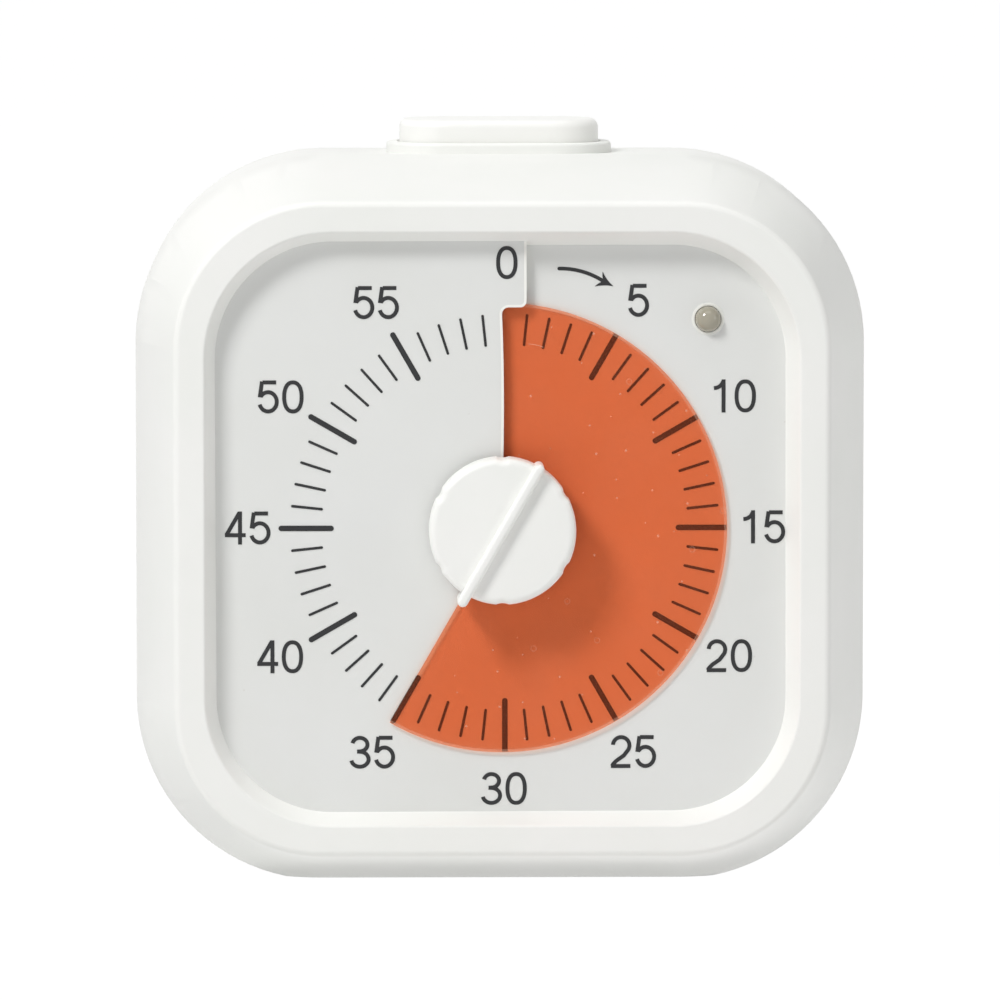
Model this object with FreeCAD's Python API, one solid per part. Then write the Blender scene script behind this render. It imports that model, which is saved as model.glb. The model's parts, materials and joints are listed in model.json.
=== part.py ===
import FreeCAD, Part
import math
import os
from FreeCAD import Rotation, Vector

# Visual countdown timer, in millimetres.
#
# The pieces are drawn in the front view and stood up when they are written: x to the right, y up, and z
# towards the viewer. The origin of that view is on the dial's axis, in the plane of the front ring.
# A depth is a distance behind that plane. Turns about the dial are given in minutes of the dial,
# clockwise from zero at the top.

# Case
BODY_WIDTH = 78.0
BODY_DEPTH = 36.0
BODY_CORNER_CENTRE = 19.0  # both ways from the axis; every outline has its corner arcs here
BASE_TRIM = 0.4  # the base is cut this far inside the outline, so that it stands on a flat
RING_HALF = 34.8  # half the outer width of the flat front ring
RING_INNER_HALF = 31.3
RING_EDGE_R = 0.8
RING_LIP_R = 0.35
SLOPE_DEPTH = 15.0  # how far back the slope behind the ring runs
WALL = 2.0
BACK_WALL = 1.8
REAR_CASE_DEPTH = 3.0
BACK_EDGE_R = 2.5
EDGE_STEPS = 3  # flats in a rounded edge that is looked at

# Dial
DIAL_CORNER_CENTRE = 18.0
DIAL_HALF = 30.1  # half the opening at the dial
DIAL_RECESS = 2.9  # from the ring to the middle height of the dial
DIAL_PITCH = 1.1  # the dial climbs this much in one turn, which opens the slit at zero
DIAL_SHEET = 0.35
DIAL_BORE_R = 4.4
PLATE_HALF = 31.6
SEAT_GAP = 0.15
SEAT_DEPTH = 2.6
SEAT_INNER_R = 20.0
PAST_CORNERS = 46.0  # a radius that lies outside the corners of the dial
SLIT_JOG_R = 23.4  # outside this radius the step is moved to the right
SLIT_JOG_X = 2.6
SLIT_BOW = 0.2
SLIT_CORNER_R = 0.7

# Colour disc
DISC_R = 23.84
DISC_SHEET = 0.12
DISC_GAP = 0.3  # between the dial and the disc in front of it
DISC_CUT_MINUTES = 0.3  # left open between the two ends of the disc
HUB_BITE = 0.15  # how far the sheet stands in the hub
HUB_R = 3.0
HUB_LENGTH = 1.7
REST_MINUTES = 35.0

# Knob
KNOB_R = 7.75
KNOB_FACE = 2.4  # in front of the ring
KNOB_BACK = -1.5
KNOB_EDGE_R = 0.8
KNOB_WALL = 1.3
KNOB_TOP = 1.5
FLUTE_R = 1.6
FLUTE_DEPTH = 0.35
FLUTES = 6
BAR_WIDTH = 1.1
BAR_HEIGHT = 1.0
BAR_EDGE_R = 0.4
BAR_POINTER_REACH = 9.0
BAR_TAIL_REACH = 8.2
SOCKET_R = 2.4
SOCKET_BACK = -0.6

# Button
BUTTON_DEPTH = 24.0
BUTTON_TRAVEL = 0.6
CAP_SIZE = (21.4, 12.6)
CAP_CORNER_R = 5.0
CAP_EDGE_R = 0.9
CAP_TOP = 3.6  # above the top of the case
CAP_WALL = 1.2
CAP_FLANGE = 0.75
CAP_FLANGE_THICKNESS = 1.2
COLLAR_SIZE = (24.2, 15.4)
COLLAR_CORNER_R = 6.4
COLLAR_TOP = 1.15
COLLAR_EDGE_R = 0.3
SLEEVE_SIZE = (22.4, 13.6)
SLEEVE_CORNER_R = 5.5
SLEEVE_LENGTH = 2.7
BUTTON_GAP = 0.15

# Spindle and slip clutch
RUNNING_GAP = 0.06
SPINDLE_R = 1.25
SPINDLE_FRONT = 1.1
SPINDLE_BACK = 14.9
SPINDLE_FLAT = 0.3
SPINDLE_PIVOT_R = 0.7
SHOULDER_R = 2.2
SHOULDER_FRONT = 8.2
CENTRE_WHEEL_FRONT = 8.9
CENTRE_WHEEL_BACK = 9.8
WASHER_R = 3.4
WASHER_SHEET = 0.2
CLUTCH_RING_FRONT = 10.4
CLUTCH_RING_BACK = 11.4
CLUTCH_RING_R = 1.8

# Dial carrier
CARRIER_HALF = 34.2
POCKET_R = 25.3
FLOOR_FRONT = 5.1
SHELF = 5.6
CARRIER_BACK = 7.1

# Movement. A tooth's shape is its width at the root as a share of the pitch, then its height above and below
# the pitch line in modules. Depths go from front to back.
WHEEL_TOOTH = (0.46, 0.85, 1.15)
PINION_TOOTH = (0.34, 0.75, 1.25)
PINION_TEETH = 6
CENTRE_TEETH = 45
THIRD_TEETH = 48
SECONDS_TEETH = 36
INTERMEDIATE_TEETH = 30
CENTRE_MODULE = 0.4
FINE_MODULE = 1 / 3
THIRD_DEPTHS = (10.6, 11.1)
THIRD_PINION_DEPTHS = (8.7, 10.7)
SECONDS_DEPTHS = (11.9, 12.3)
SECONDS_PINION_DEPTHS = (10.3, 12.0)
INTERMEDIATE_DEPTHS = (13.0, 13.4)
INTERMEDIATE_PINION_DEPTHS = (11.7, 13.1)
MAGNET_DEPTHS = (10.2, 12.4)
ROTOR_PINION_DEPTHS = (12.4, 13.7)
MOVEMENT_HALF = (20.0, 16.0)
MOVEMENT_MIDDLE = (-1.0, -1.0)
MOVEMENT_CLIP = 2.0
MOVEMENT_WALL = 0.9
MOVEMENT_BACK = 16.1
COVER_FRONT = 15.3
EAR_HALF = 2.4
EAR_BACK = 8.3
PIPE_R = 2.9
PIPE_FRONT = 5.0
ARBOR_R = 0.4
ARBOR_FRONT = 7.5
ARBOR_BACK = 15.8
MAGNET_R = 2.4
AIR_GAP = 0.35  # between the magnet and the stator
EYE_R = 4.0
STATOR_FRONT = 11.3
STATOR_BACK = 11.8
CORE_HALF = 0.7
STATOR_RIGHT = 16.0
STATOR_TOP = 13.0
LIMB = 1.6  # width of the upright limbs of the stator
COIL_START = 1.0
COIL_LENGTH = 12.0
COIL_Y = 9.3
COIL_DEPTH = 12.4
COIL_R = 1.8
COIL_FLANGE_R = 2.2
COIL_FLANGE = 0.5
COIL_TERMINALS = (2.2, 11.8)
COIL_LEAD_R = 0.3

# Electronics
BOARD = (-29.0, 29.0, 4.0, 31.5)
BOARD_FRONT = 17.5
BOARD_BACK = 19.1
CHIP = (7.0, 14.0, 14.0, 21.0)
CHIP_HEIGHT = 1.4
CRYSTAL_AT = (17.0, 9.0)
CRYSTAL_LENGTH = 6.0
CRYSTAL_R = 1.0
BUZZER_AT = (-18.0, 18.0)
BUZZER_R = 6.0
BUZZER_HEIGHT = 8.5
BUZZER_HOLE_R = 1.0
SWITCH_HALF = 3.0
SWITCH_LOW = 27.5
SWITCH_TOP = 31.0
SWITCH_DEPTH = 6.9
STEM_R = 1.1
STEM_DIP = 1.0  # how far the stem stands in the switch
POST_R = 1.6
POST_END = 33.05  # height of the lower end of the cap's post
LAMP_AT = (21.8, 22.1)
LAMP_R = 1.5
LAMP_GAP = 0.12
LAMP_PROUD = 1.0
DOME_STEPS = 3
LAMP_RIM_R = 1.9
LAMP_RIM_BACK = 8.1
LEG_SPREAD = 1.27
LEG_HALF = 0.25
LEG_TAIL = 0.8
LEAD_R = 0.45
LEAD_BEND_R = 1.2
LEAD_DEPTH = 14.5
LEAD_ASIDE = (1.0, -2.6)  # how far each wire runs aside from its contact
LEAD_SWAY = 4.0
LEAD_INSET = 1.6  # from the lower edge of the board to the ends of the wires

# Battery bay
CELL_R = 5.1
CELL_LENGTH = 44.5
CELL_DEPTH = 28.4
CELL_ROWS = (-8.4, -19.6)
NUB_R = 1.9
NUB_LENGTH = 1.0
BAY_HALF = 25.4
BAY_LOW = -25.6
BAY_HIGH = -2.4
BAY_WALL = 1.8
BAY_FRONT = 21.2
BAY_FRONT_WALL = 1.2
CONTACT = 0.4
CONTACT_HALF = 4.2
CONTACT_DEPTHS = (23.9, 32.9)
TAIL_HALF = 1.0
TAIL_END = 20.2
SPRING_WIRE_R = 0.3
SPRING_NARROW_R = 1.7
SPRING_WIDE_R = 3.3
SPRING_TURNS = 3
SPRING_STEPS = 8  # straight steps in a turn
DOOR_HALF = 26.4
DOOR_LOW = -26.0
DOOR_HIGH = -2.0
DOOR_THICKNESS = 1.6
DOOR_GAP = 0.2
DOOR_CORNER_R = 1.0
DOOR_TABS = (-16.0, 16.0)
TAB_HALF = 4.0
TAB_REACH = 2.0
TAB_ROOT = 1.5
TAB_FRONT = 32.9
TAB_BACK = 34.05
TAB_ROOM = (0.3, 0.6, 1.2)  # beside, below and in front of a tab
GRIP_GROOVES = 3
GRIP_START = 2.0  # from the upper edge of the door to the first groove
GRIP_PITCH = 1.3
GRIP_R = 0.4
GRIP_LENGTH = 9.0
FINGER_R = 5.5
FINGER_DEPTH = 1.0

# Screws, posts and holes
CASE_SCREWS = [(33.2, 20.0), (-33.2, 20.0), (33.2, -20.0), (-33.2, -20.0)]
CASE_HEAD_R = 2.1
CASE_HEAD_FRONT = 33.8
CASE_HEAD_HEIGHT = 1.3
CASE_HEAD_GAP = 0.2
CASE_SHANK_R = 1.1
CASE_SCREW_TIP = 25.0
CARRIER_SCREWS = [(28.7, 28.7), (-28.7, 28.7), (28.7, -28.7), (-28.7, -28.7)]
CARRIER_SCREW_TIP = 2.0
BOARD_POSTS = [(-26.5, 10.0), (26.5, 10.0), (-8.0, 28.5)]
BOARD_SCREW_TIP = 11.5
MOVEMENT_SCREWS = [(-23.4, -8.0), (21.4, -8.0)]
MOVEMENT_SCREW_TIP = 5.7
SMALL_HEAD_R = 1.5
SMALL_HEAD_HEIGHT = 0.9
SMALL_SHANK_R = 0.8
SCREW_GAP = 0.03  # round the part of a shank that cuts its own thread
SLIP_GAP = 0.12  # round the part that passes through
TIP_ROOM = 0.4
BOSS_R = 2.8
BOSS_FRONT = 7.6
BOSS_END = 31.5
BOSS_WEB = 1.4
REAR_POST_R = 3.2
BOARD_POST_R = 2.2
TONGUE_HALF = 36.85
TONGUE_WALL = 1.2
TONGUE_RUN = 15.0  # half the length of one straight tongue
TONGUE_FRONT = 31.5
SOUND_HOLE_R = 0.8
SOUND_RING_R = 2.8
SOUND_HOLES = 6

# How many sides the bars and holes have that are hidden or repeated
LEAST = 6
FEW = 8
SOME = 12
MANY = 16
CORNER_STEPS = 4  # flats in the corner of an outline that is hidden
BEND_STEPS = 3
PAST = 1.0  # how far a cut runs past what it cuts
PLAY = 0.1  # room round or beyond a piece that only has to pass
CLOSE = 0.05  # between two faces that almost touch

BODY_HALF = BODY_WIDTH / 2
TOP_Y = BODY_HALF
BASE_Y = BASE_TRIM - BODY_HALF
BASE_MIDDLE = (SLOPE_DEPTH + BODY_DEPTH - BACK_EDGE_R) / 2
PARTING = BODY_DEPTH - REAR_CASE_DEPTH
WALL_FRONT = BODY_DEPTH - BACK_WALL
DOOR_FRONT = BODY_DEPTH - DOOR_THICKNESS
DIAL_LOW = -DIAL_RECESS - DIAL_PITCH / 2  # height of the dial just right of the slit
ALONG_X = Vector(1, 0, 0)
ALONG_Y = Vector(0, 1, 0)
ALONG_Z = Vector(0, 0, 1)


# Basic forms

def box(x0, x1, y0, y1, z0, z1):
    return Part.makeBox(x1 - x0, y1 - y0, abs(z1 - z0), Vector(x0, y0, min(z0, z1)))


def rod(radius, z0, z1, x=0.0, y=0.0):
    """A round bar parallel to the dial's axis."""
    return Part.makeCylinder(radius, abs(z1 - z0), Vector(x, y, min(z0, z1)))


def ring_of_points(radius, start, axis, sides):
    """Points round an axis, evenly spaced."""
    square_on = Rotation(ALONG_Z, axis)
    points = []
    for i in range(sides):
        turn = 2 * math.pi * (i + 0.5) / sides
        points.append(start + square_on.multVec(Vector(radius * math.cos(turn), radius * math.sin(turn), 0)))
    return points


def many_sided(radius, length, start, axis, sides):
    """A straight bar with a regular outline, its corners on the radius."""
    corners = ring_of_points(radius, start, axis, sides)
    return Part.Face(Part.makePolygon(corners + corners[:1])).extrude(axis * length)


def bar(radius, z0, z1, x=0.0, y=0.0, sides=FEW):
    """A many-sided bar parallel to the dial's axis."""
    return many_sided(radius, abs(z1 - z0), Vector(x, y, min(z0, z1)), ALONG_Z, sides)


def bore(radius, z0, z1, x=0.0, y=0.0, sides=FEW):
    """The hole for such a bar: its flats lie on the radius."""
    return bar(radius / math.cos(math.pi / sides), z0, z1, x, y, sides)


def screw_hole(radius, z0, z1, x, y):
    return bore(radius, z0, z1, x, y, LEAST)


def rounded_wire(half_x, half_y, radius, z, x=0.0, y=0.0, flats=0):
    """A rectangle across the dial's axis, with its corners round or made of flats."""
    corners = []
    steps = flats or 2
    for side_x, side_y, start in ((1, 1, 0), (-1, 1, 90), (-1, -1, 180), (1, -1, 270)):
        middle = Vector(x + side_x * (half_x - radius), y + side_y * (half_y - radius), z)
        turns = [math.radians(start + 90 * i / steps) for i in range(steps + 1)]
        corners.append([middle + Vector(radius * math.cos(t), radius * math.sin(t), 0) for t in turns])
    if flats:
        points = sum(corners, [])
        return Part.makePolygon(points + points[:1])
    edges = []
    for corner, after in zip(corners, corners[1:] + corners[:1]):
        edges += [Part.Arc(*corner).toShape(), Part.makeLine(corner[-1], after[0])]
    return Part.Wire(edges)


def outline(half, depth, corner_centre=BODY_CORNER_CENTRE, flats=0):
    """One outline of the case: square with round corners about a fixed centre."""
    return rounded_wire(half, half, half - corner_centre, -depth, flats=flats)


def flared(profile, corner_centre=BODY_CORNER_CENTRE, flats=0):
    """A square solid with round corners, through outlines given as half width and depth."""
    wires = [outline(half, depth, corner_centre, flats) for half, depth in profile]
    return Part.makeLoft(wires, True, True)


def hidden_slab(half, depth0, depth1, corner_centre=BODY_CORNER_CENTRE):
    return flared([(half, depth0), (half, depth1)], corner_centre, CORNER_STEPS)


def rounding(radius, steps=2):
    """A rounded edge from its face to its side: how far each point stands in from the two."""
    turns = [math.pi / 2 * i / steps for i in range(steps + 1)]
    return [(radius * (1 - math.sin(t)), radius * (1 - math.cos(t))) for t in turns]


def block(size, corner_r, y0, y1, edge_r=0.0, flats=0):
    """An upright block with round corners in plan, for the button on the top, with a rounded top edge."""
    crown = rounding(edge_r) if edge_r else [(0.0, 0.0)]
    levels = [(0.0, y0)] + [(inset, y1 - below) for inset, below in reversed(crown)]
    half_x, half_y = size[0] / 2, size[1] / 2
    wires = [rounded_wire(half_x - inset, half_y - inset, corner_r - inset, y, flats=flats) for inset, y in levels]
    solid = Part.makeLoft(wires, True, True)
    solid.rotate(Vector(0, 0, 0), ALONG_X, -90)
    solid.translate(Vector(0, 0, -BUTTON_DEPTH))
    return solid


def join(shapes):
    """One solid out of pieces that overlap or share faces."""
    return shapes[0].fuse(shapes[1:]).removeSplitter()


def cut_all(shape, tools):
    return shape.cut(tools[0].fuse(tools[1:]))


def above_base(shape):
    """Cuts a case piece level at the base."""
    keep = box(-BODY_WIDTH, BODY_WIDTH, BASE_Y, BODY_WIDTH, PAST, -BODY_DEPTH - PAST)
    return shape.common(keep)


def slope_half(depth):
    """Half the width of the case at a depth in the slope behind the ring."""
    return RING_HALF + (BODY_HALF - RING_HALF) * depth / SLOPE_DEPTH


# Climbing sheets: the dial, the disc and what seats them share one pitch

def spiral_sheet(inner_r, outer_r, start_minutes, end_minutes, height_at_zero, thickness):
    """A sheet that climbs towards the viewer clockwise. thickness goes backwards from its front face."""
    climb = DIAL_PITCH * (end_minutes - start_minutes) / 60.0
    inner = Part.makeHelix(DIAL_PITCH, climb, inner_r)
    outer = Part.makeHelix(DIAL_PITCH, climb, outer_r)
    face = Part.makeRuledSurface(inner.Edges[0], outer.Edges[0])
    solid = face.extrude(Vector(0, 0, -thickness)).mirror(Vector(0, 0, 0), ALONG_X)
    solid.rotate(Vector(0, 0, 0), ALONG_Z, -90.0 - 6.0 * start_minutes)
    solid.translate(Vector(0, 0, height_at_zero + DIAL_PITCH * start_minutes / 60.0))
    return solid


def step_region(side):
    """The region near zero on one side of the step in the dial: -1 left, 1 right."""
    far_x, far_y, near_y = side * 16.0, 50.0, 2.0
    soft = SLIT_CORNER_R * (1 - math.sqrt(0.5))
    foot = Vector(0, near_y, 0)
    bow = Vector(SLIT_BOW, (near_y + SLIT_JOG_R) / 2, 0)
    bend_in = Vector(0, SLIT_JOG_R - SLIT_CORNER_R, 0)
    bend = Vector(soft, SLIT_JOG_R - soft, 0)
    bend_out = Vector(SLIT_CORNER_R, SLIT_JOG_R, 0)
    turn_in = Vector(SLIT_JOG_X - SLIT_CORNER_R, SLIT_JOG_R, 0)
    turn = Vector(SLIT_JOG_X - soft, SLIT_JOG_R + soft, 0)
    turn_out = Vector(SLIT_JOG_X, SLIT_JOG_R + SLIT_CORNER_R, 0)
    top = Vector(SLIT_JOG_X, far_y, 0)
    far_top = Vector(far_x, far_y, 0)
    far_foot = Vector(far_x, near_y, 0)
    edges = [
        Part.Arc(foot, bow, bend_in).toShape(),
        Part.Arc(bend_in, bend, bend_out).toShape(),
        Part.makeLine(bend_out, turn_in),
        Part.Arc(turn_in, turn, turn_out).toShape(),
        Part.makeLine(turn_out, top),
        Part.makeLine(top, far_top),
        Part.makeLine(far_top, far_foot),
        Part.makeLine(far_foot, foot),
    ]
    return Part.Face(Part.Wire(edges))


def dial_layer(inner_r, outer_r, height_at_zero, thickness):
    """One full turn of the climbing sheet, with its two ends cut along the step at zero."""
    reach = 3.0  # minutes on both sides of zero that the cut needs
    body = spiral_sheet(inner_r, outer_r, reach, 60.0 - reach, height_at_zero, thickness)
    low = spiral_sheet(inner_r, outer_r, -reach, reach, height_at_zero, thickness)
    high = spiral_sheet(inner_r, outer_r, 60.0 - reach, 60.0 + reach, height_at_zero, thickness)
    right = step_region(1).extrude(Vector(0, 0, -BODY_DEPTH))
    left = step_region(-1).extrude(Vector(0, 0, -BODY_DEPTH))
    return join([body, low.common(right), high.common(left)])


# Case

def make_front_case():
    ring_edge = [(RING_HALF - inset, below) for inset, below in rounding(RING_EDGE_R, EDGE_STEPS)]
    outside = flared(ring_edge + [(BODY_HALF, SLOPE_DEPTH), (BODY_HALF, PARTING)])
    room_half = BODY_HALF - WALL
    room = [(slope_half(SHELF) - WALL, SHELF), (room_half, SLOPE_DEPTH), (room_half, PARTING + PAST)]
    room = flared(room, flats=CORNER_STEPS)

    draft = (RING_INNER_HALF - DIAL_HALF) / DIAL_RECESS
    lip = [(RING_INNER_HALF + inset, below) for inset, below in rounding(RING_LIP_R)]
    opening = flared(lip + [(RING_INNER_HALF - draft * SHELF, SHELF)], DIAL_CORNER_CENTRE)
    seat_half = PLATE_HALF + SEAT_GAP
    seat = hidden_slab(seat_half, 0.0, SHELF, DIAL_CORNER_CENTRE)
    seat = dial_layer(SEAT_INNER_R, PAST_CORNERS, DIAL_LOW, SEAT_DEPTH).common(seat)
    back_of_seat = hidden_slab(seat_half, SHELF - PAST, SHELF + PAST, DIAL_CORNER_CENTRE)
    case = cut_all(outside, [room, opening, seat, back_of_seat])

    holes = [block([side + 2 * BUTTON_GAP for side in SLEEVE_SIZE], SLEEVE_CORNER_R + BUTTON_GAP,
                   TOP_Y - WALL - PAST, TOP_Y + PAST, flats=CORNER_STEPS)]
    bosses = []
    for x, y in CASE_SCREWS:
        bosses.append(bar(BOSS_R, -BOSS_FRONT, -BOSS_END, x, y, FEW))
        web = sorted((x, math.copysign(BODY_HALF, x)))
        web = box(*web, y - BOSS_WEB / 2, y + BOSS_WEB / 2, -BOSS_FRONT, -BOSS_END)
        bosses.append(web.common(outside))
        holes.append(screw_hole(CASE_SHANK_R + SCREW_GAP, -BOSS_END - PAST, -CASE_SCREW_TIP + PAST, x, y))
    for x, y in CARRIER_SCREWS:
        holes.append(screw_hole(SMALL_SHANK_R + SCREW_GAP, -SHELF - PAST, -CARRIER_SCREW_TIP + TIP_ROOM, x, y))
    return above_base(cut_all(case.fuse(bosses), holes))


def make_rear_case():
    edge = reversed(rounding(BACK_EDGE_R, EDGE_STEPS))
    back_edge = [(BODY_HALF - inset, BODY_DEPTH - below) for inset, below in edge]
    outside = above_base(flared([(BODY_HALF, PARTING)] + back_edge))
    case = outside.cut(above_base(hidden_slab(BODY_HALF - BACK_WALL, PARTING, WALL_FRONT)))
    tongues = []
    inner = TONGUE_HALF - TONGUE_WALL
    for turn in (0, 90, 180, 270):
        tongue = box(-TONGUE_RUN, TONGUE_RUN, inner, TONGUE_HALF, -TONGUE_FRONT, -WALL_FRONT)
        tongue.rotate(Vector(0, 0, 0), ALONG_Z, turn)
        tongues.append(tongue)
    bay = box(-BAY_HALF - BAY_WALL, BAY_HALF + BAY_WALL, BAY_LOW - BAY_WALL, BAY_HIGH + BAY_WALL,
              -BAY_FRONT, -WALL_FRONT)
    posts = [bar(REAR_POST_R, -BOSS_END, -WALL_FRONT, x, y, FEW) for x, y in CASE_SCREWS]
    case = join([case, bay] + tongues + posts)

    cuts = [
        box(-BAY_HALF, BAY_HALF, BAY_LOW, BAY_HIGH, -BAY_FRONT - BAY_FRONT_WALL, -BODY_DEPTH),
        box(-DOOR_HALF - DOOR_GAP, DOOR_HALF + DOOR_GAP, DOOR_LOW - DOOR_GAP, DOOR_HIGH + DOOR_GAP,
            -DOOR_FRONT, -BODY_DEPTH - PAST),
        rod(FINGER_R, -BODY_DEPTH + FINGER_DEPTH, -BODY_DEPTH - PAST, 0.0, DOOR_HIGH + PAST),
    ]
    beside, below, ahead = TAB_ROOM
    half = TAB_HALF + beside
    foot = DOOR_LOW - TAB_REACH - below
    for x in DOOR_TABS:
        cuts.append(box(x - half, x + half, foot, BAY_LOW + PAST, -TAB_FRONT + ahead, -DOOR_FRONT))
    for x, y in CASE_SCREWS:
        cuts.append(bore(CASE_HEAD_R + CASE_HEAD_GAP, -CASE_HEAD_FRONT, -BODY_DEPTH - PAST, x, y, MANY))
        cuts.append(screw_hole(CASE_SHANK_R + SLIP_GAP, -BOSS_END + PAST, -BODY_DEPTH, x, y))
    centre = Vector(*BUZZER_AT, 0)
    for spot in [centre] + ring_of_points(SOUND_RING_R, centre, ALONG_Z, SOUND_HOLES):
        cuts.append(bore(SOUND_HOLE_R, -WALL_FRONT + PAST, -BODY_DEPTH - PAST, spot.x, spot.y, SOME))
    for y in CELL_ROWS:
        half = TAIL_HALF + PLAY
        cuts.append(box(-BAY_HALF, -BAY_HALF + CONTACT + PLAY, y - half, y + half, -BAY_FRONT + PAST,
                        -BAY_FRONT - BAY_FRONT_WALL - PLAY))
    return cut_all(case, cuts)


def make_battery_door():
    """A flat door with two hooked tabs below and a ribbed grip above."""
    middle_y = (DOOR_HIGH + DOOR_LOW) / 2
    wire = rounded_wire(DOOR_HALF, DOOR_HIGH - middle_y, DOOR_CORNER_R, -DOOR_FRONT, 0.0, middle_y)
    pieces = [Part.Face(wire).extrude(Vector(0, 0, -DOOR_THICKNESS))]
    for x in DOOR_TABS:
        sides = (x - TAB_HALF, x + TAB_HALF)
        pieces.append(box(*sides, DOOR_LOW, DOOR_LOW + TAB_ROOT, -TAB_FRONT, -DOOR_FRONT))
        pieces.append(box(*sides, DOOR_LOW - TAB_REACH, DOOR_LOW + TAB_ROOT, -TAB_FRONT, -TAB_BACK))
    grooves = []
    for i in range(GRIP_GROOVES):
        start = Vector(-GRIP_LENGTH / 2, DOOR_HIGH - GRIP_START - GRIP_PITCH * i, -BODY_DEPTH)
        grooves.append(many_sided(GRIP_R, GRIP_LENGTH, start, ALONG_X, FEW))
    return cut_all(join(pieces), grooves)


# Dial and disc

def make_dial_plate():
    plate = dial_layer(DIAL_BORE_R, PAST_CORNERS, DIAL_LOW, DIAL_SHEET)
    plate = plate.common(hidden_slab(PLATE_HALF, 0.0, SHELF, DIAL_CORNER_CENTRE))
    return plate.cut(rod(LAMP_R + LAMP_GAP, 0.0, -SHELF, *LAMP_AT))


def make_dial_carrier():
    """The moulding behind the dial: a flange, a climbing rim that seats the plate, and posts."""
    flange = hidden_slab(CARRIER_HALF, SHELF, CARRIER_BACK)
    raised = hidden_slab(PLATE_HALF, FLOOR_FRONT, CARRIER_BACK, DIAL_CORNER_CENTRE)
    rim = dial_layer(POCKET_R, PAST_CORNERS, DIAL_LOW - DIAL_SHEET, SEAT_DEPTH)
    rim = rim.common(hidden_slab(PLATE_HALF, 0.0, CARRIER_BACK, DIAL_CORNER_CENTRE))
    posts = [bar(BOARD_POST_R, -CARRIER_BACK, -BOARD_FRONT, x, y) for x, y in BOARD_POSTS]
    behind = -CARRIER_BACK - PAST
    holes = [bore(PIPE_R + PLAY, 0.0, behind, sides=SOME)]
    holes.append(bore(LAMP_R + LAMP_GAP, 0.0, behind, *LAMP_AT, SOME))
    for x, y in CARRIER_SCREWS:
        holes.append(screw_hole(SMALL_SHANK_R + SLIP_GAP, -SHELF + PAST, behind, x, y))
    for x, y in MOVEMENT_SCREWS:
        holes.append(screw_hole(SMALL_SHANK_R + SCREW_GAP, -MOVEMENT_SCREW_TIP + PLAY, behind, x, y))
    for x, y in BOARD_POSTS:
        holes.append(screw_hole(SMALL_SHANK_R + SCREW_GAP, -BOARD_SCREW_TIP + TIP_ROOM, -BOARD_FRONT, x, y))
    return cut_all(join([flange, raised, rim] + posts), holes)


def make_colour_disc():
    """One turn of thin sheet. The part that covers the time left is in front of the dial."""
    front = DIAL_LOW + DISC_GAP + DISC_SHEET
    start = REST_MINUTES - 60.0 + DISC_CUT_MINUTES
    return spiral_sheet(HUB_R - HUB_BITE, DISC_R, start, REST_MINUTES, front, DISC_SHEET)


def make_disc_hub():
    middle = DIAL_LOW + DISC_GAP + DISC_SHEET / 2 + DIAL_PITCH * (REST_MINUTES - 30.0) / 60.0
    ends = (middle - HUB_LENGTH / 2, middle + HUB_LENGTH / 2)
    return bar(HUB_R, *ends, sides=MANY).cut(bore(SPINDLE_R + RUNNING_GAP, *ends, sides=SOME))


# Knob and what turns with it

def at_minutes(minutes, radius):
    turn = math.radians(6.0 * minutes)
    return Vector(radius * math.sin(turn), radius * math.cos(turn), 0)


def make_knob():
    rim = [Vector(KNOB_R - inset, 0, KNOB_FACE - below) for inset, below in reversed(rounding(KNOB_EDGE_R))]
    profile = [Vector(0, 0, KNOB_BACK), Vector(KNOB_R, 0, KNOB_BACK)] + rim + [Vector(0, 0, KNOB_FACE)]
    cap = Part.Face(Part.makePolygon(profile + profile[:1])).revolve(Vector(0, 0, 0), ALONG_Z, 360)
    flutes = []
    for i in range(FLUTES):
        minutes = REST_MINUTES + 60.0 / FLUTES * (i + 0.5)
        spot = at_minutes(minutes, KNOB_R - FLUTE_DEPTH + FLUTE_R)
        flutes.append(bar(FLUTE_R, KNOB_BACK - PAST, KNOB_FACE + PAST, spot.x, spot.y, MANY))
    cap = cut_all(cap, flutes)

    half = BAR_WIDTH / 2
    half_length = (BAR_POINTER_REACH + BAR_TAIL_REACH) / 2
    top = KNOB_FACE + BAR_HEIGHT
    levels = [(0.0, KNOB_BACK)] + [(inset, top - below) for inset, below in reversed(rounding(BAR_EDGE_R))]
    soft = 0.01  # keeps a short flat at each end of the bar
    wires = [rounded_wire(half - inset, half_length - inset, half - inset - soft, z) for inset, z in levels]
    rib = Part.makeLoft(wires, True, True)
    rib.translate(Vector(0, (BAR_POINTER_REACH - BAR_TAIL_REACH) / 2, 0))
    rib.rotate(Vector(0, 0, 0), ALONG_Z, -6.0 * REST_MINUTES)

    under = bar(KNOB_R - KNOB_WALL, KNOB_BACK - PAST, KNOB_FACE - KNOB_TOP, sides=MANY)
    socket = bar(SOCKET_R, SOCKET_BACK, KNOB_FACE - KNOB_TOP, sides=SOME)
    return join([cap, rib]).cut(under).fuse(socket).cut(make_spindle())


def make_spindle():
    shaft = bar(SPINDLE_R, SPINDLE_FRONT, -SPINDLE_BACK, sides=SOME)
    flat = box(SPINDLE_R - SPINDLE_FLAT, SPINDLE_R + PAST, -SPINDLE_R, SPINDLE_R, SPINDLE_FRONT, SOCKET_BACK)
    shoulder = bar(SHOULDER_R, -SHOULDER_FRONT, -CENTRE_WHEEL_FRONT, sides=SOME)
    pivot = bar(SPINDLE_PIVOT_R, -SPINDLE_BACK, -MOVEMENT_BACK + PLAY)
    return join([shaft.cut(flat), shoulder, pivot])


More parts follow.
